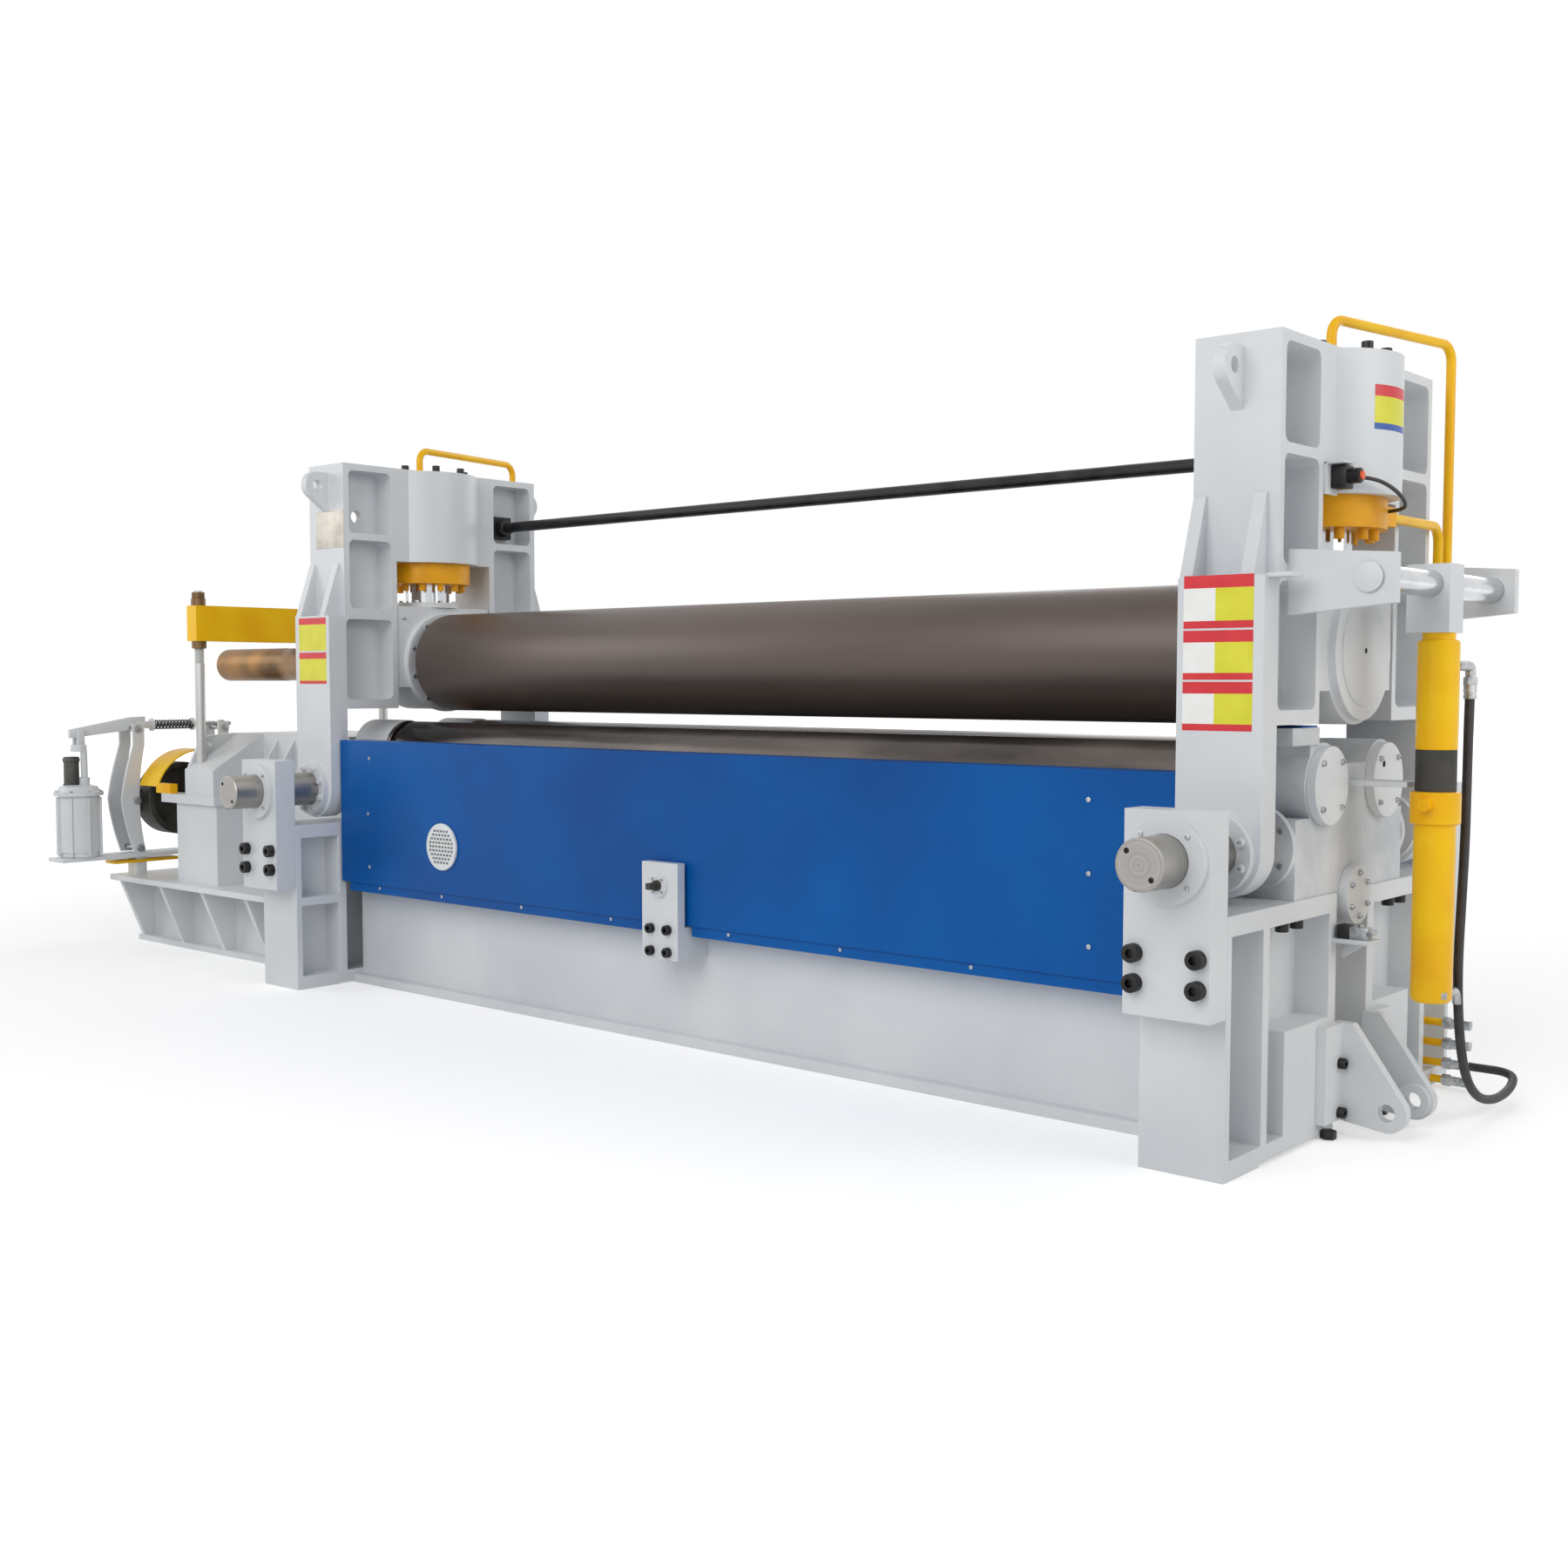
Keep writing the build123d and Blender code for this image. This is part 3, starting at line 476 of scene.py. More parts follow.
def slab(points, thickness, edge=1.5, segments=2):
    """A flat plate from its corner points in order, thickened by a vector."""
    bm = bmesh.new()
    face = bm.faces.new([bm.verts.new(p) for p in points])
    grown = bmesh.ops.extrude_face_region(bm, geom=[face], use_keep_orig=True)
    bmesh.ops.translate(bm, vec=thickness, verts=[v for v in grown["geom"] if isinstance(v, bmesh.types.BMVert)])
    bmesh.ops.recalc_face_normals(bm, faces=bm.faces)
    if edge:
        corners = [e for e in bm.edges if len(e.link_faces) == 2 and e.calc_face_angle() > math.radians(30)]
        break_edges(bm, corners, edge, segments)
    return closed(bm)


def outer_face(bm):
    """The face that lies highest."""
    return max(bm.faces, key=lambda f: f.calc_center_median().z)


def screw_blank(sides, radius, height, chamfer):
    """A short bar on +Z, round or with flats, whose outer rim is chamfered."""
    bm = bmesh.new()
    bmesh.ops.create_cone(bm, cap_ends=True, segments=sides, radius1=radius, radius2=radius, depth=height,
                          matrix=Matrix.Translation((0, 0, height / 2)))
    break_edges(bm, outer_face(bm).edges, chamfer)
    return bm


def cap_screw(at, axis, head_r, head_h, sides=24):
    """A cylinder-head screw with a hexagonal socket half as deep as its head."""
    bm = screw_blank(sides, head_r, head_h, head_r * 0.12)
    top = outer_face(bm)
    socket, sixth = head_r * 0.52, math.pi / 3
    bmesh.ops.inset_region(bm, faces=[top], thickness=head_r * 0.3)
    for v in top.verts:
        turn = math.atan2(v.co.y, v.co.x) % sixth - sixth / 2
        v.co.xy = v.co.xy.normalized() * (socket * math.cos(sixth / 2) / math.cos(turn))
    bmesh.ops.inset_region(bm, faces=[top], thickness=head_r * 0.03, depth=-head_h * 0.5)
    return placed(bm, at, axis)


def hex_head(at, axis, across, height):
    """A hexagon nut or bolt head, its corners chamfered on the outer face."""
    return placed(screw_blank(6, across / math.sqrt(3), height, across * 0.07), at, axis)


def ring_of(count, at, axis, pitch_r, make, start=0.0):
    """Repeats a small part on a pitch circle about an axis."""
    place = along(at, axis)
    parts = []
    for k in range(count):
        a = start + math.tau * k / count
        parts.append(make(place @ Vector((pitch_r * math.cos(a), pitch_r * math.sin(a), 0))))
    return parts


def joined(name, parts):
    """One mesh in metres from several shapes drawn in millimetres."""
    whole = bmesh.new()
    for part in parts:
        carrier = bpy.data.meshes.new("part")
        part.to_mesh(carrier)
        part.free()
        whole.from_mesh(carrier)
        bpy.data.meshes.remove(carrier)
    bmesh.ops.scale(whole, vec=(mm, mm, mm), verts=whole.verts)
    mesh = bpy.data.meshes.new(name)
    whole.to_mesh(mesh)
    whole.free()
    return mesh


def shade(mesh, sharp):
    """Smooth shading with hard corners above an angle in degrees."""
    mesh.shade_smooth()
    mesh.set_sharp_from_angle(angle=math.radians(sharp))


def flatten_faces(piece):
    """Weighted normals, which keep large faces flat beside rounded corners."""
    piece.modifiers.new("flat_faces", "WEIGHTED_NORMAL").keep_sharp = True


def place_mesh(name, mesh, body, finish, sharp):
    """Links a finished mesh as a piece; one that crosses a joint has no body of its own."""
    shade(mesh, sharp)
    mesh.materials.clear()
    mesh.materials.append(finishes[finish])
    piece = bpy.data.objects.new(name, mesh)
    scene.collection.objects.link(piece)
    if body:
        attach(piece, body)
    return piece


def make_piece(name, parts, body, finish, sharp=32.0):
    """Joins parts into one piece that rides on a body and has a finish."""
    return place_mesh(name, joined(name, parts), body, finish, sharp)


def cut(piece, parts):
    """Cuts closed shapes, given in millimetres, out of a piece."""
    tool_mesh = joined("tool", parts)
    tool = bpy.data.objects.new("tool", tool_mesh)
    scene.collection.objects.link(tool)
    step = piece.modifiers.new("cut", "BOOLEAN")
    step.operation = "DIFFERENCE"
    step.solver = "EXACT"
    step.object = tool
    bpy.context.view_layer.update()
    shaped = bpy.data.meshes.new_from_object(piece.evaluated_get(bpy.context.evaluated_depsgraph_get()))
    piece.modifiers.clear()
    piece.data = shaped
    bpy.data.objects.remove(tool)
    bpy.data.meshes.remove(tool_mesh)
    stored = shaped.attributes.get("custom_normal")
    if stored:
        shaped.attributes.remove(stored)
    shade(shaped, 32)
    flatten_faces(piece)


# %% [markdown]
# ## Welded and cast pieces
#
# The frame's own meshes have knife-sharp corners, which real plate and castings never
# have: a corner that was ground and painted catches a thin line of light. Each big
# piece is copied, its triangles are merged back to whole faces, and its corners are
# rounded by a few millimetres. The copy then stands for the node. Weighted normals keep
# the large faces flat beside the rounded corners.

# %% Softened copies of the frame's pieces
lug_seam, seam_reach, behind_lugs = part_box("frame_lugs")[1][2], 2 * mm, 0.5


def at_seam(edge):
    """Whether an edge lies where a lug is welded to its frame, which stays unbroken."""
    return all(abs(v.co.z - lug_seam) < seam_reach and abs(v.co.y) > behind_lugs for v in edge.verts)


def soften(node, finish, width, sharp=35.0):
    """A copy of a node with rounded corners, which replaces the node."""
    bm = bmesh.new()
    bm.from_mesh(frame["nodes"][node].data)
    bmesh.ops.remove_doubles(bm, verts=bm.verts, dist=0.01 * mm)
    bmesh.ops.dissolve_limit(bm, angle_limit=math.radians(0.5), verts=bm.verts, edges=bm.edges)
    corners = [e for e in bm.edges if len(e.link_faces) == 2 and e.calc_face_angle(0) > math.radians(sharp)]
    break_edges(bm, [e for e in corners if not at_seam(e)], width * mm)
    mesh = bpy.data.meshes.new(node + "_finished")
    bm.to_mesh(mesh)
    bm.free()
    piece = place_mesh(node + "_finished", mesh, body_of[node], finish, sharp)
    flatten_faces(piece)
    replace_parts(piece, node)
    return piece


softened = {
    "base_beam": ("white_enamel", 3), "right_foot": ("white_enamel", 3), "left_foot": ("white_enamel", 3),
    "right_housing": ("cast_enamel", 5), "left_housing": ("cast_enamel", 5),
    "roll_end_covers": ("white_enamel", 2.5),
    "right_front_bracket": ("white_enamel", 2.5), "right_rear_bracket": ("white_enamel", 2.5),
    "left_front_bracket": ("white_enamel", 2.5), "left_rear_bracket": ("white_enamel", 2.5),
    "front_cover": ("blue_enamel", 2.5), "rear_cover": ("blue_enamel", 2.5),
    "centre_bracket": ("white_enamel", 2.5), "hinge_ears": ("white_enamel", 2),
    "cylinder_stay": ("white_enamel", 1.5), "drive_base": ("white_enamel", 3), "gearbox": ("white_enamel", 4),
    "right_frame": ("white_enamel", 4), "left_frame": ("white_enamel", 4), "frame_lugs": ("white_enamel", 4),
    "cylinder_glands": ("oiled_yellow", 3), "yoke_arms": ("white_enamel", 2.5),
    "link_block": ("white_enamel", 4), "right_bearing_block": ("white_enamel", 3),
    "left_bearing_block": ("white_enamel", 3), "balance_beam": ("yellow_enamel", 5),
    "drum_guard": ("yellow_enamel", 1.5),
}
for node, (finish, width) in softened.items():
    piece = soften(node, finish, width)
    print(node, len(piece.data.polygons), "faces")

# %% Nodes that keep their own mesh
kept = {
    "centre_spindle": "cast_iron", "tie_rod": "black_oxide",
    "oil_pipes": "yellow_enamel", "yoke_shaft": "hard_chrome", "piston_rods": "hard_chrome",
    "front_lower_roll": "patched_roll_steel", "rear_lower_roll": "patched_roll_steel",
}
for node, finish in kept.items():
    piece = frame["nodes"][node]
    piece.data.materials.clear()
    piece.data.materials.append(finishes[finish])
print("nodes with a finish of their own mesh:", len(kept))

# %% [markdown]
# ## Screws of the guide shafts
#
# The end frames slide on four guide shafts. Each shaft's outer end is held by a block
# bolted to the foot with four black socket screws, and a ring with four small screws
# keeps its bush in. The lug on the frame has larger painted screws, and so has the
# flange behind it. A loop over the two ends and two sides repeats them all, and one
# helper puts socket screws on a pitch circle, half a step from its start.

# %% Screws of brackets, lugs and flanges
ends_and_sides = [(end, side) for end in (-1, 1) for side in (-1, 1)]


def screw_ring(count, at, axis, pitch_r, head_r, head_h, turn=0.5):
    """Socket screws on a pitch circle; turn is the first one's place, in steps."""
    return ring_of(count, at, axis, pitch_r, lambda p: cap_screw(p, axis, head_r, head_h),
                   start=math.tau / count * turn)


lug_face = -span("frame_lugs")[0].y
flange_face = -span("left_housing")[0].y
bolt_across, bolt_heights = 98, (555, 640)
bracket_bolts, ring_screws, lug_screws = [], [], []
for end, side in ends_and_sides:
    outward = (0, side, 0)
    for across in (-bolt_across, bolt_across):
        for height in bolt_heights:
            place = (end * x_mid + across, side * bracket_face, height)
            bracket_bolts.append(cap_screw(place, outward, 27, 30))
    ring_screws += screw_ring(4, (end * x_mid, side * bracket_ring_face, shaft_z), outward, 102, 8, 5)
    ring_screws += screw_ring(6, (end * x_mid, side * flange_face, shaft_z), outward, 104, 9, 7)
    lug_screws += screw_ring(8, (end * x_mid, side * lug_face, shaft_z), outward, 98, 13, 15)
make_piece("bracket_bolts", bracket_bolts, "base", "black_oxide")
make_piece("ring_screws", ring_screws, "base", "zinc")
make_piece("lug_screws", lug_screws, "upper_frame", "white_enamel")
print("screws:", len(bracket_bolts), len(ring_screws), len(lug_screws))

# %% [markdown]
# ## Shaft ends
#
# A turned shaft is lifted and pulled by screws in its end face, so that face has two
# tapped holes, a centre mark from the lathe and a slot that stops the shaft turning.
# A boolean cuts them from a softened copy; drawing dark discs on the face would be
# quicker, but they would show as flat spots when the light comes from the side.

# %% Holes in the shaft ends
shaft_r = (shaft_high.x - shaft_low.x) / 2
hole_offset, hole_r, hole_depth = 38, 8.5, 30
slot_half, slot_low, slot_high, slot_depth = 16, -10, 6, 14
for node in ("right_shafts", "left_shafts"):
    piece = soften(node, "turned_steel", 0.8)
    middle = (span(node)[0].x + span(node)[1].x) / 2
    tools = []
    for side in (-1, 1):
        outward = (0, side, 0)
        for way in (-1, 1):
            place = (middle + way * hole_offset, side * (shaft_end - hole_depth), shaft_z - way * hole_offset)
            tools.append(disc(place, outward, hole_r, 2 * hole_depth, 0.5, 20))
        centre = (middle, side * (shaft_end - 6), shaft_z)
        tools.append(turned(centre, outward, ((0, 0), (7, 12), (0, 12)), 16))
        near, far = sorted((side * (shaft_end - slot_depth), side * (shaft_end + 20)))
        tools.append(block((middle - slot_half, near, shaft_z - shaft_r + slot_low),
                           (middle + slot_half, far, shaft_z - shaft_r + slot_high), 0))
    cut(piece, tools)
    print(node, "faces after the cuts:", len(piece.data.polygons))

# %% [markdown]
# ## Covers, vent and centre bracket
#
# The blue covers are folded sheet held by a few small screws along the ends and the lip.
# The vent is a moulded disc with rows of short slots; behind them a near-black disc is painted shade
# for the inside of the cover. The rows are as wide as the disc allows at their height.

# %% Cover screws
cover_face = -span("front_cover")[0].y
lip_face, lip_z = cover_face - 8, 466
end_rows = ((1829, 580), (1826, 807), (1823, 1036), (-1907, 1051), (-1920, 802), (-1915, 560))
lip_row = (1384, 832, 300, -330, -870, -1400, -1850)
cover_screws = []
for side in (-1, 1):
    for x, z in end_rows:
        cover_screws.append(cap_screw((x, side * cover_face, z), (0, side, 0), 8, 4))
    for x in lip_row:
        cover_screws.append(cap_screw((x, side * lip_face, lip_z), (0, side, 0), 7, 4))
make_piece("cover_screws", cover_screws, "base", "zinc")
print("cover screws:", len(cover_screws))

# %% Vent grille
vent_low, vent_high = span("vent_grille")
vent_x, vent_z = (vent_low.x + vent_high.x) / 2, (vent_low.z + vent_high.z) / 2
vent_r = (vent_high.x - vent_low.x) / 2
vent_depth = vent_high.y - vent_low.y
row_step, slot_step, slot_width, slot_height = 17, 21, 15, 10
grille = make_piece("vent_disc", [disc((vent_x, vent_high.y - 2, vent_z), to_front, vent_r, vent_depth - 2, 3)],
                    "base", "white_plastic")
slots = []
for row in range(-4, 5):
    half = math.sqrt((vent_r - 16) ** 2 - (row * row_step) ** 2) - slot_width / 2
    count = int(2 * half / slot_step) + 1
    for k in range(count):
        x = vent_x + (k - (count - 1) / 2) * slot_step
        z = vent_z + row * row_step
        slots.append(block((x - slot_width / 2, vent_low.y - 5, z - slot_height / 2),
                           (x + slot_width / 2, vent_high.y + 5, z + slot_height / 2), 0))
print("vent slots:", len(slots))
cut(grille, slots)
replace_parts(grille, "vent_grille")
# A near-black disc behind the slots: painted shade for the inside of the cover
make_piece("vent_painted_shade", [disc((vent_x, vent_high.y - 0.5, vent_z), to_front, vent_r - 6, 3, 0.5)],
           "base", "painted_hole_shade")

# %% Centre bracket screws
spindle_low, spindle_high = span("centre_spindle")
spindle_z = (spindle_low.z + spindle_high.z) / 2
centre_face = -spindle_low.y - 62
centre_bolts = [cap_screw((x, -centre_face, z), to_front, 19, 20) for x in (-45, 45) for z in (381, 466)]
make_piece("centre_bolts", centre_bolts, "base", "black_oxide")
make_piece("centre_ring_screws", screw_ring(4, (0, -centre_face - 12, spindle_z), to_front, 35, 6, 5),
           "base", "zinc")
print("centre bracket face at", centre_face, "spindle height", spindle_z)

# %% [markdown]
# ## Lower roll housings
#
# Round covers close the bearings of the lower rolls at the right-hand end, each with
# four screws, and a smaller one below them has six. On the inner faces a steel seal ring
# surrounds each journal, with a dark collar in front of it, and the wall between the two
# journals keeps its ochre primer.

# %% Roll covers and seals
covers_face = span("roll_end_covers")[1].x
roll_low, roll_high = span("front_lower_roll")
lower_z = (roll_low.z + roll_high.z) / 2
lower_y = -(roll_low.y + roll_high.y) / 2
small_cover_z = 735
screws = []
for side in (-1, 1):
    screws += screw_ring(4, (covers_face, side * lower_y, lower_z), to_right, 98, 9, 9)
screws += screw_ring(6, (covers_face, 0, small_cover_z), to_right, 68, 9, 10)
make_piece("roll_cover_screws", screws, "base", "zinc")
# A near-black disc just proud of the cover: painted shade for a tapped hole
make_piece("roll_cover_hole_shade", [disc((covers_face - 1, lower_y - 42, lower_z + 52), to_right, 11, 1.6, 0.3, 24)],
           "base", "painted_hole_shade")


def ring(at, axis, inner, outer, height, edge=1.5, steps=48):
    """A flat ring of rectangular section with a broken outer corner."""
    bm = bmesh.new()
    outline = ((inner, 0), (outer, 0), (outer, height - edge), (outer - edge, height), (inner, height))
    points = [bm.verts.new((r, 0, h)) for r, h in outline]
    edges = [bm.edges.new((points[k - 1], points[k])) for k in range(len(points))]
    return spun(bm, points + edges, at, axis, steps)


journal_r, seal_h, wall_half = 89, 16, 4
seals, collars = [], []
housing_inner = -span("left_housing")[1].x
for end, side in ends_and_sides:
    inward = (-end, 0, 0)
    seals.append(ring((end * housing_inner, side * lower_y, lower_z), inward, journal_r, 127, seal_h, 3))
    collars.append(ring((end * (housing_inner - seal_h), side * lower_y, lower_z), inward, journal_r, 104, 14))
make_piece("seal_rings", seals, "base", "patched_roll_steel")
make_piece("seal_collars", collars, "base", "cast_iron")
wall_y, wall_x = lower_y - 100, housing_inner - wall_half
inner_walls = [block((end * wall_x - wall_half, -wall_y, lower_z - 60),
                     (end * wall_x + wall_half, wall_y, lower_z + 95), 1) for end in (-1, 1)]
make_piece("housing_primer", inner_walls, "base", "ochre_primer")
print("seals:", len(seals), "collars:", len(collars))

# %% Tray, ledge bolts, ear bolts and limit switch
tray_top = span("right_housing")[1].z
make_piece("tray_pad", [block((x_in + 60, -392, tray_top - 0.5), (x_out - 1, -284, tray_top + 6), 1.5)],
           "base", "blue_enamel")
ledge_under, ear_face = 690, x_out + 30
ledge_bolts = [cap_screw((end * (x_mid + 108), y, ledge_under), down, 20, 28)
               for end in (-1, 1) for y in (-449, -350, 350, 449)]
ear_bolts = [cap_screw((ear_face, side * 150, z), to_right, 17, 22) for side in (-1, 1) for z in (75, 228)]
make_piece("ledge_bolts", ledge_bolts + ear_bolts, "base", "black_oxide")
make_piece("levelling_screws", [hex_head((x_out + 20, y, 2), up, 44, 26) for y in (-200, 200)],
           "base", "black_oxide")
gusset = slab([(x_out, -72, 600), (x_out + 90, -72, 600), (x_out, -72, 540)], (0, -6, 0), 1)
shelf = make_piece("switch_shelf", [block((x_out, -160, 600), (x_out + 120, -70, 612), 1.5), gusset],
                   "base", "white_enamel")
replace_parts(shelf, "limit_switch")
make_piece("switch_head", [block((x_out + 8, -142, 612), (x_out + 46, -92, 654), 3)], "base", "black_oxide")
make_piece("switch_body", [block((x_out + 46, -138, 612), (x_out + 106, -96, 650), 3),
                           disc((x_out + 112, -142, 634), to_rear, 10, 44, 1.5, 24),
                           hex_head((x_out + 76, -117, 650), up, 14, 8)], "base", "zinc")

# %% [markdown]
# ## Main cylinders and bearing blocks
#
# Each end frame carries a hydraulic cylinder that pushes the top roll's bearing block
# down. Black screws hold its cap, yellow screws hang from the gland, and the bearing
# block shows a ring of small screws round the roll's neck. The piston meets the block
# at a bolted flange. The block moves, so its screws ride on the roll carrier.

# %% Cylinder and bearing screws
cylinder_top = span("right_frame")[1].z - 5
gland_under = span("cylinder_glands")[0].z
block_low, block_high = span("right_bearing_block")
top_low, top_high = span("top_roll")
roll_z = (top_low.z + top_high.z) / 2
flange_h = 24
top_screws, gland_screws, neck_screws, piston_flanges, flange_screws = [], [], [], [], []
for end in (-1, 1):
    top_screws += screw_ring(8, (end * x_mid, 0, cylinder_top), up, 190, 18, 32)
    gland_screws += screw_ring(12, (end * x_mid, 0, gland_under), down, 166, 16, 34)
    piston_flanges.append(ring((end * x_mid, 0, block_high.z), up, 105.5, 150, flange_h, 3))
    flange_screws += screw_ring(6, (end * x_mid, 0, block_high.z + flange_h), up, 128, 11, 12, turn=0)
    neck_screws += screw_ring(10, (end * block_low.x, 0, roll_z), (-end, 0, 0), 212, 9, 8)
nipple = ((0, 0), (8, 0), (8, 5), (4, 8), (5, 16), (0, 18))
nipples = [turned((end * (x_in + 5), -238, 1700), (-end, 0, 0), nipple, 16) for end in (-1, 1)]
end_plate = disc((block_high.x, 0, roll_z), to_right, 168, 6, 2, 64)
# A near-black disc on the end plate: painted shade for a tapped hole
end_shade_disc = disc((block_high.x + 5.4, 0, roll_z + 4), to_right, 9, 1.2, 0.3, 24)
for name, parts, body, finish in (("cylinder_cap_screws", top_screws, "upper_frame", "black_oxide"),
                                  ("gland_screws", gland_screws, "upper_frame", "oiled_yellow"),
                                  ("piston_flanges", piston_flanges, "roll_carrier", "white_enamel"),
                                  ("piston_flange_screws", flange_screws, "roll_carrier", "zinc"),
                                  ("neck_screws", neck_screws, "roll_carrier", "zinc"),
                                  ("block_end_plate", [end_plate], "roll_carrier", "white_enamel"),
                                  ("block_end_painted_shade", [end_shade_disc], "roll_carrier", "painted_hole_shade"),
                                  ("grease_nipples", nipples, "roll_carrier", "zinc")):
    make_piece(name, parts, body, finish)
    print(name, len(parts))

# %% Tie rod nuts
tie_low, tie_high = span("tie_rod")
tie_y, tie_z = (tie_low.y + tie_high.y) / 2, (tie_low.z + tie_high.z) / 2
web_half, nut_block, tip_start = 20, 45, 58
nuts, tips = [], []
for end in (-1, 1):
    outward = (end, 0, 0)
    nuts.append(hex_head((end * (x_mid - web_half - nut_block), tie_y, tie_z), (-end, 0, 0), 78, 38))
    nuts.append(hex_head((end * (x_mid + web_half), tie_y, tie_z), outward, 66, 30))
    tips.append(disc((end * (x_mid + tip_start), tie_y, tie_z), outward, 25.5, 4, 1.5, 24))
make_piece("tie_nuts", nuts, "upper_frame", "black_oxide")
make_piece("tie_tips", tips, "upper_frame", "zinc")
print("tie rod nuts:", len(nuts))

# %% [markdown]
# ## Labels
#
# Thin vinyl plates on the columns carry plain blocks of colour and stand half a
# millimetre proud of the paint. One function divides a plate into its head, its foot
# and the field between them. The panel on the cylinder follows its round wall, so it is
# an edge spun through part of a turn and given a thickness.

# %% Colour blocks
column_face, upper_face = lug_face - 30, 570
vinyl = 0.6
label_parts = {"label_red": [], "label_yellow": [], "label_white": []}


def vinyl_plate(left, right, low, high, head, foot, white=0):
    """A plate on a column: red head and foot, white for a width from the left, yellow beside it."""
    height = high - low
    top, bottom = high - head * height, low + foot * height
    for colour, x0, x1, z0, z1 in (("label_red", left, right, top, high), ("label_red", left, right, low, bottom),
                                   ("label_white", left, left + white, bottom, top),
                                   ("label_yellow", left + white, right, bottom, top)):
        if x1 > x0 and z1 > z0:
            label_parts[colour].append(block((x0, -column_face - vinyl, z0), (x1, -column_face + vinyl, z1), 0))


for low, high in ((1552, 1704), (1404, 1546), (1257, 1398)):
    vinyl_plate(2160, 2378, low, high, 0.24, 0.14, white=100)
for low, high, foot in ((1540, 1691, 0.0), (1388, 1532, 0.10)):
    vinyl_plate(-2380, -2164, low, high, 0.20, foot)
for colour, parts in label_parts.items():
    make_piece(colour + "_blocks", parts, "upper_frame", colour)
make_piece("maker_plate_blank", [block((-2356, -upper_face - 1.5, 2014), (-2138, -upper_face + 0.5, 2187), 0.8)],
           "upper_frame", "bare_plate")
print("label plates:", {colour: len(parts) for colour, parts in label_parts.items()})


# %% Panel on the cylinder
def round_panel(centre_x, radius, start, end, z0, z1):
    """A thin panel on a round wall, between two angles in degrees."""
    bm = bmesh.new()
    first = [bm.verts.new((radius, 0, z)) for z in (z0, z1)]
    edge = bm.edges.new(first)
    bmesh.ops.rotate(bm, verts=first, cent=(0, 0, 0), matrix=Matrix.Rotation(math.radians(start), 3, "Z"))
    bmesh.ops.spin(bm, geom=first + [edge], cent=(0, 0, 0), axis=up, angle=math.radians(end - start), steps=14)
    bmesh.ops.recalc_face_normals(bm, faces=bm.faces)
    bmesh.ops.solidify(bm, geom=bm.faces[:], thickness=1.0)
    bmesh.ops.translate(bm, vec=(centre_x, 0, 0), verts=bm.verts)
    return closed(bm)


panel_r, panel_start, panel_end = 245.7, -27, 15
for colour, z0, z1 in (("label_red", 2256, 2290), ("label_yellow", 2176, 2256), ("label_blue", 2157, 2176)):
    make_piece("cylinder_" + colour, [round_panel(x_mid, panel_r, panel_start, panel_end, z0, z1)],
               "upper_frame", colour)
print("cylinder panel from", panel_start, "to", panel_end, "degrees")

# %% [markdown]
# ## Tubes and hoses
#
# A bent pipe is one smooth line given a thickness. The line is a NURBS curve through a
# few guide points, so it bends as a pipe in a bending tool does, without corners. It is
# turned into a mesh at once, so that pipes, nuts and ferrules can share one piece.

# %% Tube helpers
def drawn(points, radius=0.0, sides=0):
    """The mesh of a smooth line through guide points in millimetres, thickened if it has a radius."""
    curve = bpy.data.curves.new("line", "CURVE")
    curve.dimensions = "3D"
    spline = curve.splines.new("NURBS")
    spline.points.add(len(points) - 1)
    for point, place in zip(spline.points, points):
        point.co = (*(c * mm for c in place), 1.0)
    spline.order_u = 3
    spline.use_endpoint_u = True
    curve.resolution_u = 10
    if radius:
        curve.bevel_depth = radius * mm
        curve.bevel_resolution = sides
        curve.use_fill_caps = True
    holder = bpy.data.objects.new("line", curve)
    scene.collection.objects.link(holder)
    bpy.context.view_layer.update()
    mesh = bpy.data.meshes.new_from_object(holder.evaluated_get(bpy.context.evaluated_depsgraph_get()))
    bpy.data.objects.remove(holder)
    bpy.data.curves.remove(curve)
    return mesh


def tube(points, radius, sides=6):
    """A closed tube of a bent pipe, as a bmesh in millimetres."""
    mesh = drawn(points, radius, sides)
    bm = bmesh.new()
    bm.from_mesh(mesh)
    bmesh.ops.scale(bm, vec=(1 / mm, 1 / mm, 1 / mm), verts=bm.verts)
    bpy.data.meshes.remove(mesh)
    return closed(bm)


def read_line(points):
    """The points of a smooth line, in metres, and its length."""
    mesh = drawn(points)
    line = [v.co.copy() for v in mesh.vertices]
    bpy.data.meshes.remove(mesh)
    return line, sum((b - a).length for a, b in zip(line, line[1:]))


# %% [markdown]
# ## Tilting cylinder
#
# The slim cylinder at the right-hand end swings the end bearing down to free a closed
# shell. Its barrel has a collar with two pivot pins, and a black joint band above it.
# One turned profile gives the whole body; the pins and the ports are added to it.

# %% Tilting cylinder
tilt_x, tilt_top = x_out + 250, span("tilt_cylinder")[1].z
port_x, port_z, lower_port_z = tilt_x + 40, 1447, 452
tilt_profile = ((0, 426), (50, 426), (57, 431), (61, 440), (61, 966), (71, 970), (73.9, 973), (73.9, 1062),
                (71, 1066), (59, 1068), (59, 1194), (61, 1196), (61, 1516), (57, 1522), (48, 1524),
                (48, tilt_top), (0, tilt_top))
pin_profile = ((0, 0), (20, 0), (20, 42), (17, 45), (0, 45))
tilt_parts = [turned((tilt_x, 0, 0), up, tilt_profile, 56)]
for side in (-1, 1):
    tilt_parts.append(turned((tilt_x, side * 60, 1030), (0, side, 0), pin_profile, 32))
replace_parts(make_piece("tilting_cylinder", tilt_parts, "upper_frame", "yellow_enamel"), "tilt_cylinder")
make_piece("tilt_band", [ring((tilt_x, 0, 1068), up, 58.5, 60, 126, 1)], "upper_frame", "cast_iron")

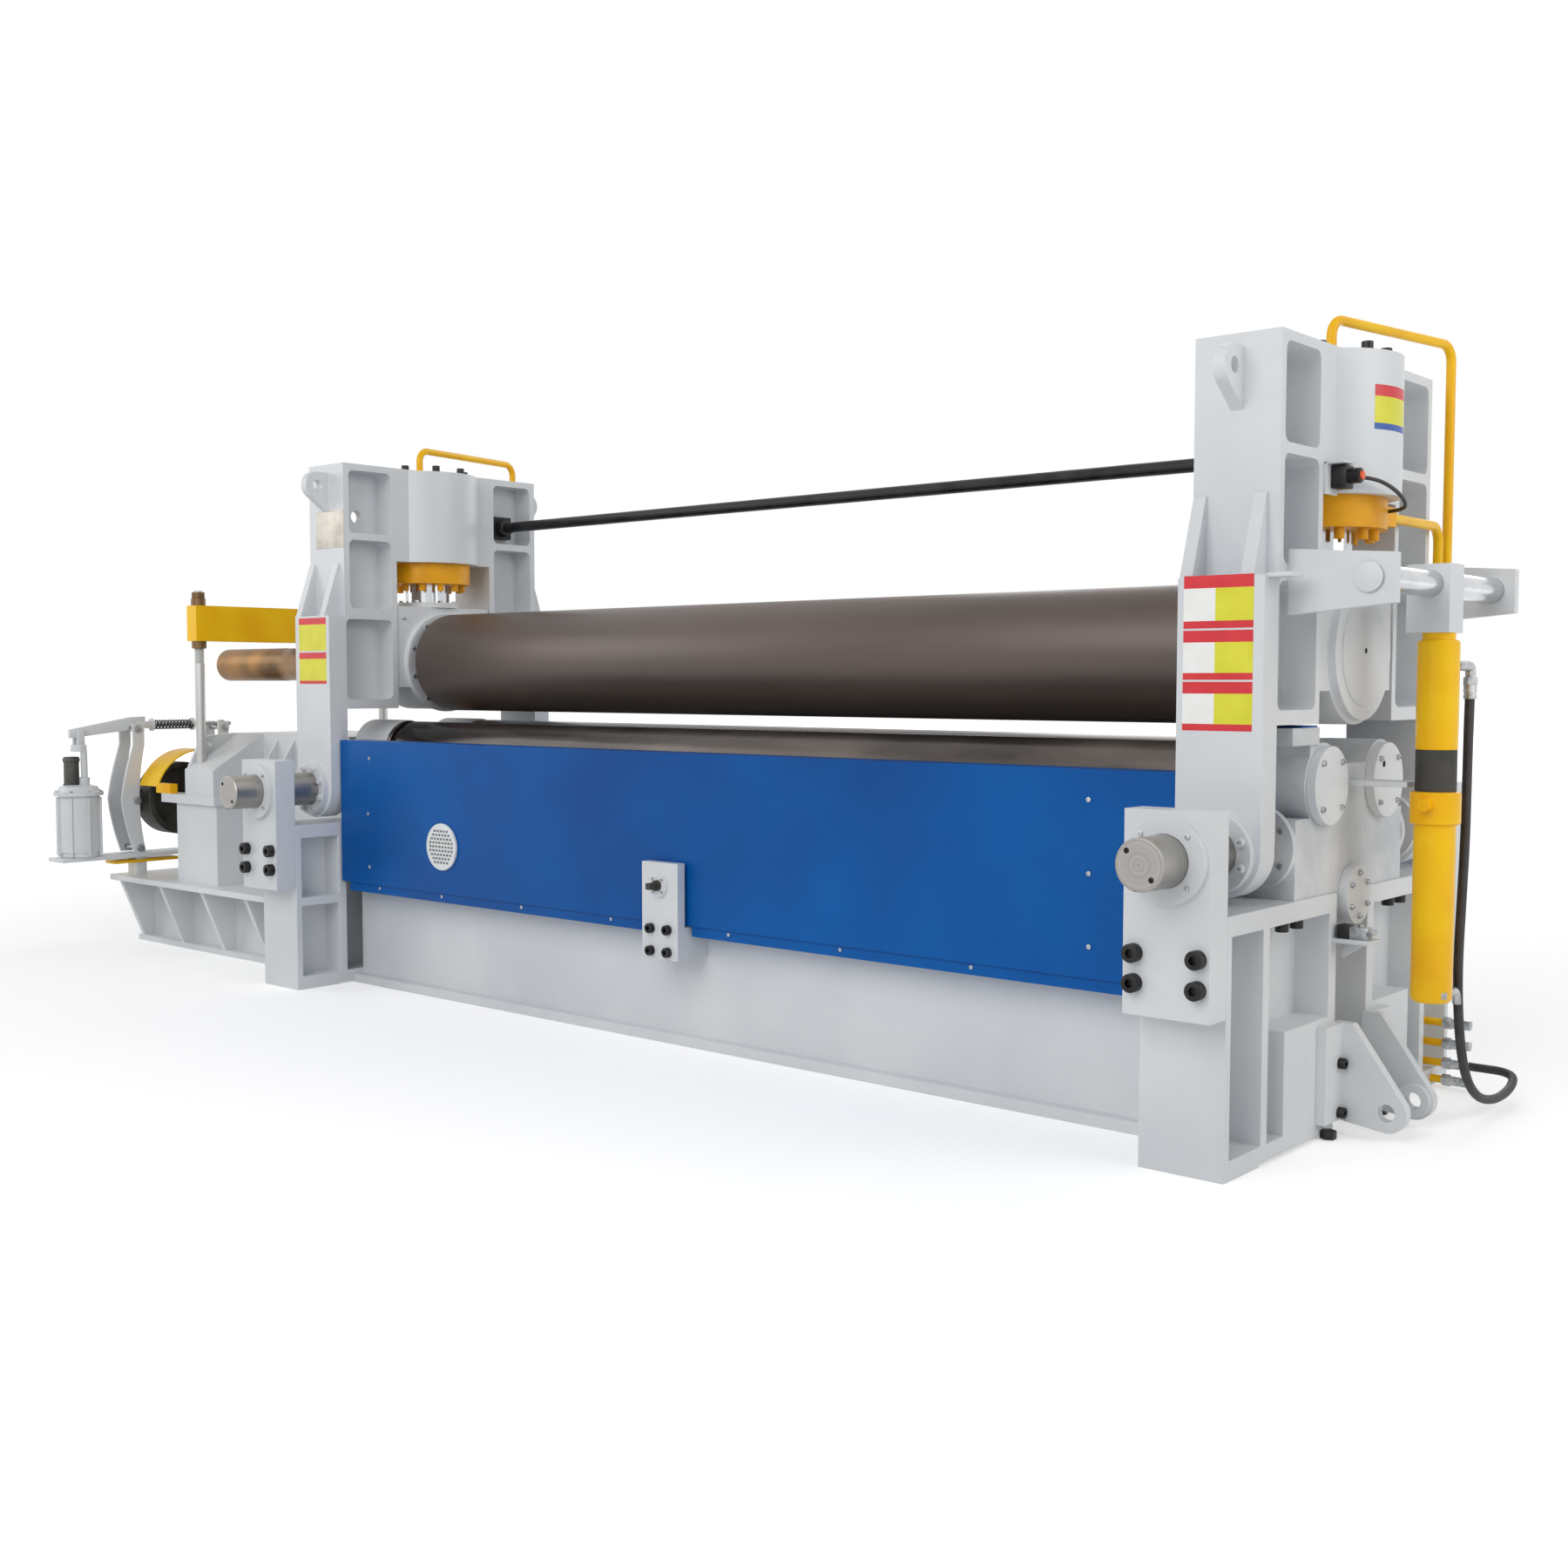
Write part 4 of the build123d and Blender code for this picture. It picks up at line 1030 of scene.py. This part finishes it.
elbow = [(port_x, 112, port_z), (port_x, 160, port_z), (port_x, 160, port_z - 47)]
ferrule = ((0, 0), (19, 0), (19, 24), (17.5, 26), (17.5, 31), (19, 33), (19, 44), (0, 46))
fittings = [hex_head((tilt_x + 36, 50, port_z), to_rear, 34, 18),
            hex_head((port_x, 160, port_z - 35), down, 36, 24),
            turned((port_x, 159, port_z - 57), down, ferrule, 24),
            hex_head((port_x, -32, lower_port_z), to_rear, 34, 22),
            tube([(port_x, 36, port_z), *elbow, (port_x, 160, port_z - 49)], 15.5),
            tube([(port_x, y, lower_port_z) for y in (-40, 40, 106)] + [(port_x, 108, lower_port_z - 44)], 13)]
make_piece("tilt_fittings", fittings, "upper_frame", "zinc")
print("tilting cylinder up to", tilt_top, "with its port at", port_z)

# %% [markdown]
# ## Hose
#
# One hydraulic hose hangs from the cylinder's upper port to the pipes at the base. It
# crosses the joint between the sliding end frame and the base, so it is one tube that rides
# on no body and stays where it is drawn. The same smooth
# curve gives the tube and, read back as points, the hose's length and middle line.

# %% Hose from the cylinder to the base
hose_radius = 14.5
hose_route = [(2700, 60, port_z), *elbow, (2700, 158, 1335), (2701, 150, 1220), (2704, 140, 1080),
              (2708, 124, 900), (2706, 112, 720), (2700, 112, 560), (2698, 122, 420), (2698, 150, 280),
              (2700, 200, 160), (2704, 290, 84), (2708, 400, 52), (2710, 510, 46), (2706, 612, 56),
              (2694, 680, 78), (2650, 700, 86), (2600, 700, 86), (2534, 700, 86)]
hose_line, hose_length = read_line(hose_route)
hose = make_piece("tilt_hose", [tube(hose_route, hose_radius)], None, "black_rubber", sharp=50)
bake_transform(hose)
print("hose length in metres:", round(hose_length, 3))

# %% [markdown]
# ## Pipe stubs at the base
#
# Four short pipes come out of the base at its rear corner, each with a union nut and a
# ferrule that closes it. The hose joins the third. All four are turned parts set one
# above the other, so a loop over their heights draws them.

# %% Pipe stubs
stub_y = 700
stub = ((0, 0), (13, 0), (13, 148), (0, 148))
union = ((0, 0), (17, 0), (17, 30), (15.5, 32), (15.5, 36), (17, 38), (17, 66), (0, 68))
stubs, unions = [], []
for z in (226, 155, 86, 28):
    stubs.append(turned((x_mid + 30, stub_y, z), to_right, stub, 24))
    unions.append(hex_head((x_mid + 175, stub_y, z), to_right, 36, 28))
    unions.append(turned((x_mid + 200, stub_y, z), to_right, union, 24))
make_piece("pipe_stubs", stubs, "base", "yellow_enamel")
make_piece("stub_unions", unions, "base", "zinc")
print("pipe stubs:", len(stubs))

# %% [markdown]
# ## Position sensor
#
# A small sensor on a white bracket watches the right-hand main cylinder. It is a black
# box with a round head and an orange cap. Folded sheet, a moulded block and a turned
# head are three workshop shapes, so it needs no shape of its own.

# %% Sensor
sensor_y, sensor_z = -224, 2008
sensor_head = ((0, 0), (23, 0), (23, 34), (20, 38), (0, 38))
make_piece("sensor_bracket", [block((x_out, -277, 1955), (x_out + 10, -200, 2050), 1.5),
                              block((x_out, -277, 2044), (x_out + 62, -200, 2050), 1)],
           "upper_frame", "white_enamel")
make_piece("sensor_body", [block((x_out + 12, -252, 1972), (x_out + 58, -196, 2040), 3),
                           turned((x_out + 56, sensor_y, sensor_z), to_right, sensor_head, 32)],
           "upper_frame", "black_oxide")
make_piece("sensor_cap", [disc((x_out + 93, sensor_y, sensor_z), to_right, 13, 8, 2, 24)],
           "upper_frame", "orange_cap")
make_piece("gland_port_nuts", [hex_head((end * (x_mid + 140), 184, 1915), to_rear, 44, 26) for end in (-1, 1)],
           "upper_frame", "zinc")
print("sensor at height", sensor_z)

# %% Yoke discs and plate stub
discs = [disc((x_out + 240, side * 515, 1690), (0, side, 0), 42, 4, 1.5, 40) for side in (-1, 1)]
stub_plate = block((x_out - 4, -640, 1694), (x_out + 70, -560, 1706), 2)
make_piece("yoke_discs", discs + [stub_plate], "upper_frame", "white_enamel")
print("yoke discs:", len(discs))

# %% [markdown]
# ### Sensor cable
#
# A braided cable runs from the port block on the gland round the cylinder to the sensor.
# It hangs in a shallow bow, because it is held only at its two ends. It rides on the end
# frame with both of them, unlike the hose, which rides on no body.

# %% Sensor cable
cable_radius = 6.0
cable_route = [(2450, 118, 1930), (2512, 84, 1928), (2548, 10, 1945), (2546, -90, 1980), (2512, -160, 2006),
               (2458, -198, 2010)]
cable_line, cable_length = read_line(cable_route)
cable = make_piece("sensor_cable", [tube(cable_route, cable_radius, 3)], "upper_frame", "black_rubber", sharp=50)
print("cable length in metres:", round(cable_length, 3))

# %% [markdown]
# ## Top roll
#
# The top roll is one forging: a ground body under a brown film, two journals and a long
# tail that balances it. The body and the tail have different skins, so they are two
# turned pieces. The tail shows a step, a groove and a chamfered end.

# %% Top roll
top_r = (top_high.z - top_low.z) / 2
body_half, neck_r, neck_end = 2080, 150, top_high.x
half_profile = ((0, neck_end), (neck_r - 3, neck_end), (neck_r, neck_end - 3), (neck_r, body_half),
                (218, body_half), (226, body_half - 4), (top_r, body_half - 14))
roll_profile = [(r, -x) for r, x in half_profile] + list(half_profile[::-1])
roll_body = make_piece("top_roll_body", [turned((0, 0, roll_z), to_right, roll_profile, 96)],
                       "top_roll", "coated_roll")
tail_r, tail_start = 87.5, -neck_end
tail_length = tail_start - top_low.x
tail_profile = ((0, 0), (tail_r, 0), (tail_r, 500), (85.5, 504), (85.5, 520), (tail_r, 524), (tail_r, 1000),
                (86, 1003), (86, 1120), (tail_r, 1123), (tail_r, tail_length - 12), (78, tail_length),
                (10, tail_length), (0, tail_length - 8))
tail = make_piece("top_roll_tail", [turned((tail_start, 0, roll_z), (-1, 0, 0), tail_profile, 64)],
                  "top_roll", "brown_oxide")
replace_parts(roll_body, "top_roll")
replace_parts(tail, "top_roll")
print("top roll radius", top_r, "tail length", tail_length)

# %% [markdown]
# ## Balance gear
#
# The tail of the top roll rests on a yellow beam that two rods hold up. Each rod passes
# through the beam between round nuts, with a thread below and a hexagon nut on top. The
# thread is a row of ridges in the rod's profile, since a helix wouldn't show from afar.

# %% Balance rods and nuts
rods_low, rods_high = span("balance_rods")
beam_low, beam_high = span("balance_beam")
rod_x, rod_y, rod_r, thread_r, pitch = (beam_low.x + beam_high.x) / 2, 560, 24, 21.5, 6.0
length = rods_high.z - rods_low.z
thread_low, thread_high = 1490 - rods_low.z, beam_low.z - rods_low.z
rod_profile = [(0, 0), (21, 0), (rod_r, 4), (rod_r, thread_low)]
for k in range(int((thread_high - thread_low) / pitch)):
    rod_profile += [(thread_r, thread_low + (k + 0.5) * pitch), (rod_r, thread_low + (k + 1) * pitch)]
rod_profile += [(rod_r, length - 3), (21, length), (0, length)]
nut_r, chamfer_r, nut_h = 36, 32, 38
lower_nut = ((0, 0), (chamfer_r, 0), (nut_r, 3), (nut_r, nut_h), (0, nut_h))
upper_nut = ((0, 0), (nut_r, 0), (nut_r, nut_h - 3), (chamfer_r, nut_h), (0, nut_h))
rod_parts, nut_parts = [], []
for y in (-rod_y, rod_y):
    rod_parts.append(turned((rod_x, y, rods_low.z), up, rod_profile, 32))
    nut_parts += [turned((rod_x, y, beam_low.z - nut_h), up, lower_nut, 36),
                  turned((rod_x, y, beam_high.z), up, upper_nut, 36),
                  hex_head((rod_x, y, beam_high.z + nut_h), up, 62, 30)]
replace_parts(make_piece("balance_rods_turned", rod_parts, "balance_gear", "bright_steel"), "balance_rods")
make_piece("balance_nuts", nut_parts, "balance_gear", "brown_oxide")
print("balance rods", length, "mm long, thread from", thread_low, "to", thread_high)

# %% [markdown]
# ## Gearbox pillars
#
# Plates welded across the pillars lift the gearbox: flame-cut outlines with a hole for
# the shackle. Two small ribs stiffen the pillar's sloping top. Flame-cut plate has a
# slightly rounded edge, so the outline is extruded and bevelled by two millimetres.

# %% Lifting plates and ribs
lifting = []
plate_x, plate_thick, rib_thick = -3500, 20, 14
outline = ((600, 962), (545, 1075), (511, 1111), (470, 1122), (330, 1130), (330, 962))
rib_outline = ((328, 950), (430, 950), (328, 1110))
for side in (-1, 1):
    lifting.append(slab([(plate_x, side * y, z) for y, z in outline], (plate_thick, 0, 0), 2))
    for x in (-3100, -2950):
        lifting.append(slab([(x, side * y, z) for y, z in rib_outline], (rib_thick, 0, 0), 1.5))
plates = make_piece("lifting_plates", lifting, "base", "white_enamel")
cut(plates, [disc((plate_x - 20, side * 483, 1079), to_right, 14, 80, 0.5, 24) for side in (-1, 1)])
print("lifting plates and ribs:", len(lifting))

# %% [markdown]
# ## Brake gear
#
# A drum brake holds the drive. Two bowed arms carry the shoes, a lever plate and a
# spring rod press them together, and an electric thruster lifts the lever to let go.
# The arms are pairs of bent plates, so their outline is drawn as a bow and thickened.

# %% Brake drum
drum_low, drum_high = span("brake_drum")
brake_x, brake_y, brake_z, drum_r = -4000, -387, 772, 195
shaft_out = drum_high.x - drum_low.x
drum_profile = ((0, 10), (50, 10), (56, 16), (56, 34), (150, 38), (164, 4), (168, 0), (drum_r - 5, 0), (drum_r, 5),
                (drum_r, 145), (drum_r - 5, 150), (168, 150), (164, 146), (150, 112), (60, 116), (60, 135),
                (45, 140), (45, shaft_out), (0, shaft_out))
drum = make_piece("brake_drum_turned", [turned((drum_low.x, brake_y, brake_z), to_right, drum_profile, 64)],
                  "brake_drum", "cast_iron", sharp=28)
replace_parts(drum, "brake_drum")
print("drum radius", drum_r, "shaft end at", shaft_out)

# %% Brake arms and shoes
arm_gap, arm_thick, arm_low, arm_high, arm_steps = 64, 16, 495, 1180, 12
pair_half = arm_gap + arm_thick
pair_width = 2 * pair_half


def bowed_arm(side, x):
    """One arm plate beside the drum, bowed outwards at the axle's height."""
    inner, outer = [], []
    for k in range(arm_steps + 1):
        z = arm_low + k * (arm_high - arm_low) / arm_steps
        t = (z - brake_z) / 290
        reach = 217 + 34 * max(0.0, 1 - t * t)
        width = 62 + 38 * max(0.0, 1 - abs(t))
        inner.append((x, brake_y + side * reach, z))
        outer.append((x, brake_y + side * (reach + width), z))
    return slab(inner + outer[::-1], (arm_thick, 0, 0), 1.5, 1)


pin_profile = ((0, 0), (17, 0), (20, 3), (20, 12), (14, 13), (14, pair_width + 14), (20, pair_width + 15),
               (20, pair_width + 24), (0, pair_width + 28))
arms, shoes, pins = [], [], []
for side in (-1, 1):
    arms += [bowed_arm(side, x) for x in (brake_x - pair_half, brake_x + arm_gap)]
    shoe_y = brake_y + side * 235
    shoes.append(block((brake_x - 55, shoe_y - 16, brake_z - 60), (brake_x + 55, shoe_y + 16, brake_z + 60), 3))
    for z, reach in ((520, 255), (brake_z, 268), (1150, 255)):
        pins.append(turned((brake_x - pair_half - 14, brake_y + side * reach, z), to_right, pin_profile, 24))
lever_outline = ((-975, 1105), (-975, 1150), (-640, 1210), (-560, 1212), (-560, 1150), (-660, 1140))
lever = slab([(brake_x - 12, y, z) for y, z in lever_outline], (24, 0, 0), 3)
beams = [block((brake_x - 80, -1062, 470), (brake_x + 80, -107, 490), 3)]
for y in (brake_y - 230, brake_y + 230):
    beams.append(block((brake_x - 45, y - 30, 368), (brake_x + 45, y + 30, 472), 3))
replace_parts(make_piece("brake_arms", arms + [lever] + beams, "base", "white_enamel"), "brake_stand")
make_piece("brake_pins", pins, "base", "zinc")
carriers = make_piece("brake_shoe_carriers", shoes, "base", "cast_iron")
cut(carriers, [disc((brake_x - 80, brake_y, brake_z), to_right, drum_r + 5, 160, 0.5, 64)])
print("arm plates:", len(arms), "pins:", len(pins))

# %% Spring rod
rod_z, spring_start, spring_length, turns, coil_r, coil_steps = 1168, -515, 228, 12, 23, 10
rod_outline = ((0, 0), (9, 0), (11, 2), (11, 598), (9, 600), (0, 600))
make_piece("spring_rod", [turned((brake_x, -652, rod_z), to_rear, rod_outline, 20),
                          hex_head((brake_x, -124, rod_z), to_rear, 34, 20),
                          hex_head((brake_x, -102, rod_z), to_rear, 34, 14)], "base", "zinc")
coil_line = []
for k in range(coil_steps * turns + 1):
    angle = math.tau * k / coil_steps
    coil_line.append((brake_x + coil_r * math.cos(angle), spring_start + spring_length * k / (coil_steps * turns),
                      rod_z + coil_r * math.sin(angle)))
make_piece("brake_spring", [tube(coil_line, 4, 2)], "base", "black_oxide", sharp=60)
make_piece("spring_seats", [disc((brake_x, spring_start - 8, rod_z), to_rear, 34, 8, 1.5, 28),
                            disc((brake_x, spring_start + spring_length, rod_z), to_rear, 34, 8, 1.5, 28),
                            block((brake_x - 20, -606, rod_z - 18), (brake_x + 20, -523, rod_z + 18), 3)],
           "base", "white_enamel")
print("spring turns:", turns)

# %% Thruster
thruster_y, motor_z = -932, 862
body_outline = ((0, 0), (88, 0), (97, 6), (97, 22), (105, 30), (105, 300), (101, 312), (101, 318), (122, 320),
                (122, 338), (108, 342), (92, 366), (64, 374), (0, 374))
motor_outline = ((0, 0), (42, 0), (42, 8), (38, 10), (38, 120), (42, 122), (42, 140), (34, 148), (0, 148))
plunger_outline = ((0, 0), (26, 0), (26, 40), (17, 44), (17, 180), (0, 180))
thruster = [turned((brake_x, thruster_y, 490), up, body_outline, 48)]
rib_count = 8
for k in range(rib_count):
    turn = Matrix.Rotation(math.tau * k / rib_count, 4, "Z")
    rib = block((98, -5, -150), (116, 5, 150), 1.5)
    bmesh.ops.transform(rib, matrix=Matrix.Translation((brake_x, thruster_y, 650)) @ turn, verts=rib.verts)
    thruster.append(rib)
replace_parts(make_piece("thruster_body", thruster, "base", "white_enamel"), "brake_thruster")
make_piece("thruster_motor", [turned((brake_x - 22, thruster_y - 24, motor_z), up, motor_outline, 32)],
           "base", "grey_enamel")
crosshead = [turned((brake_x + 20, thruster_y + 24, motor_z), up, plunger_outline, 24),
             disc((brake_x, thruster_y + 6, 1036), up, 40, 36, 3, 32)]
for x in (brake_x - 34, brake_x + 14):
    crosshead.append(block((x, thruster_y - 12, 1070), (x + 20, thruster_y + 26, 1150), 3))
make_piece("thruster_crosshead", crosshead, "base", "white_enamel")
make_piece("brake_foot_bar", [block((brake_x - 50, -770, 440), (brake_x + 50, -400, 456), 2)],
           "base", "yellow_enamel")
thruster_bolts = ring_of(8, (brake_x, thruster_y, 828), up, 113, lambda p: hex_head(p, up, 16, 8))
make_piece("thruster_bolts", thruster_bolts, "base", "zinc")
print("thruster ribs:", rib_count, "bolts:", len(thruster_bolts))
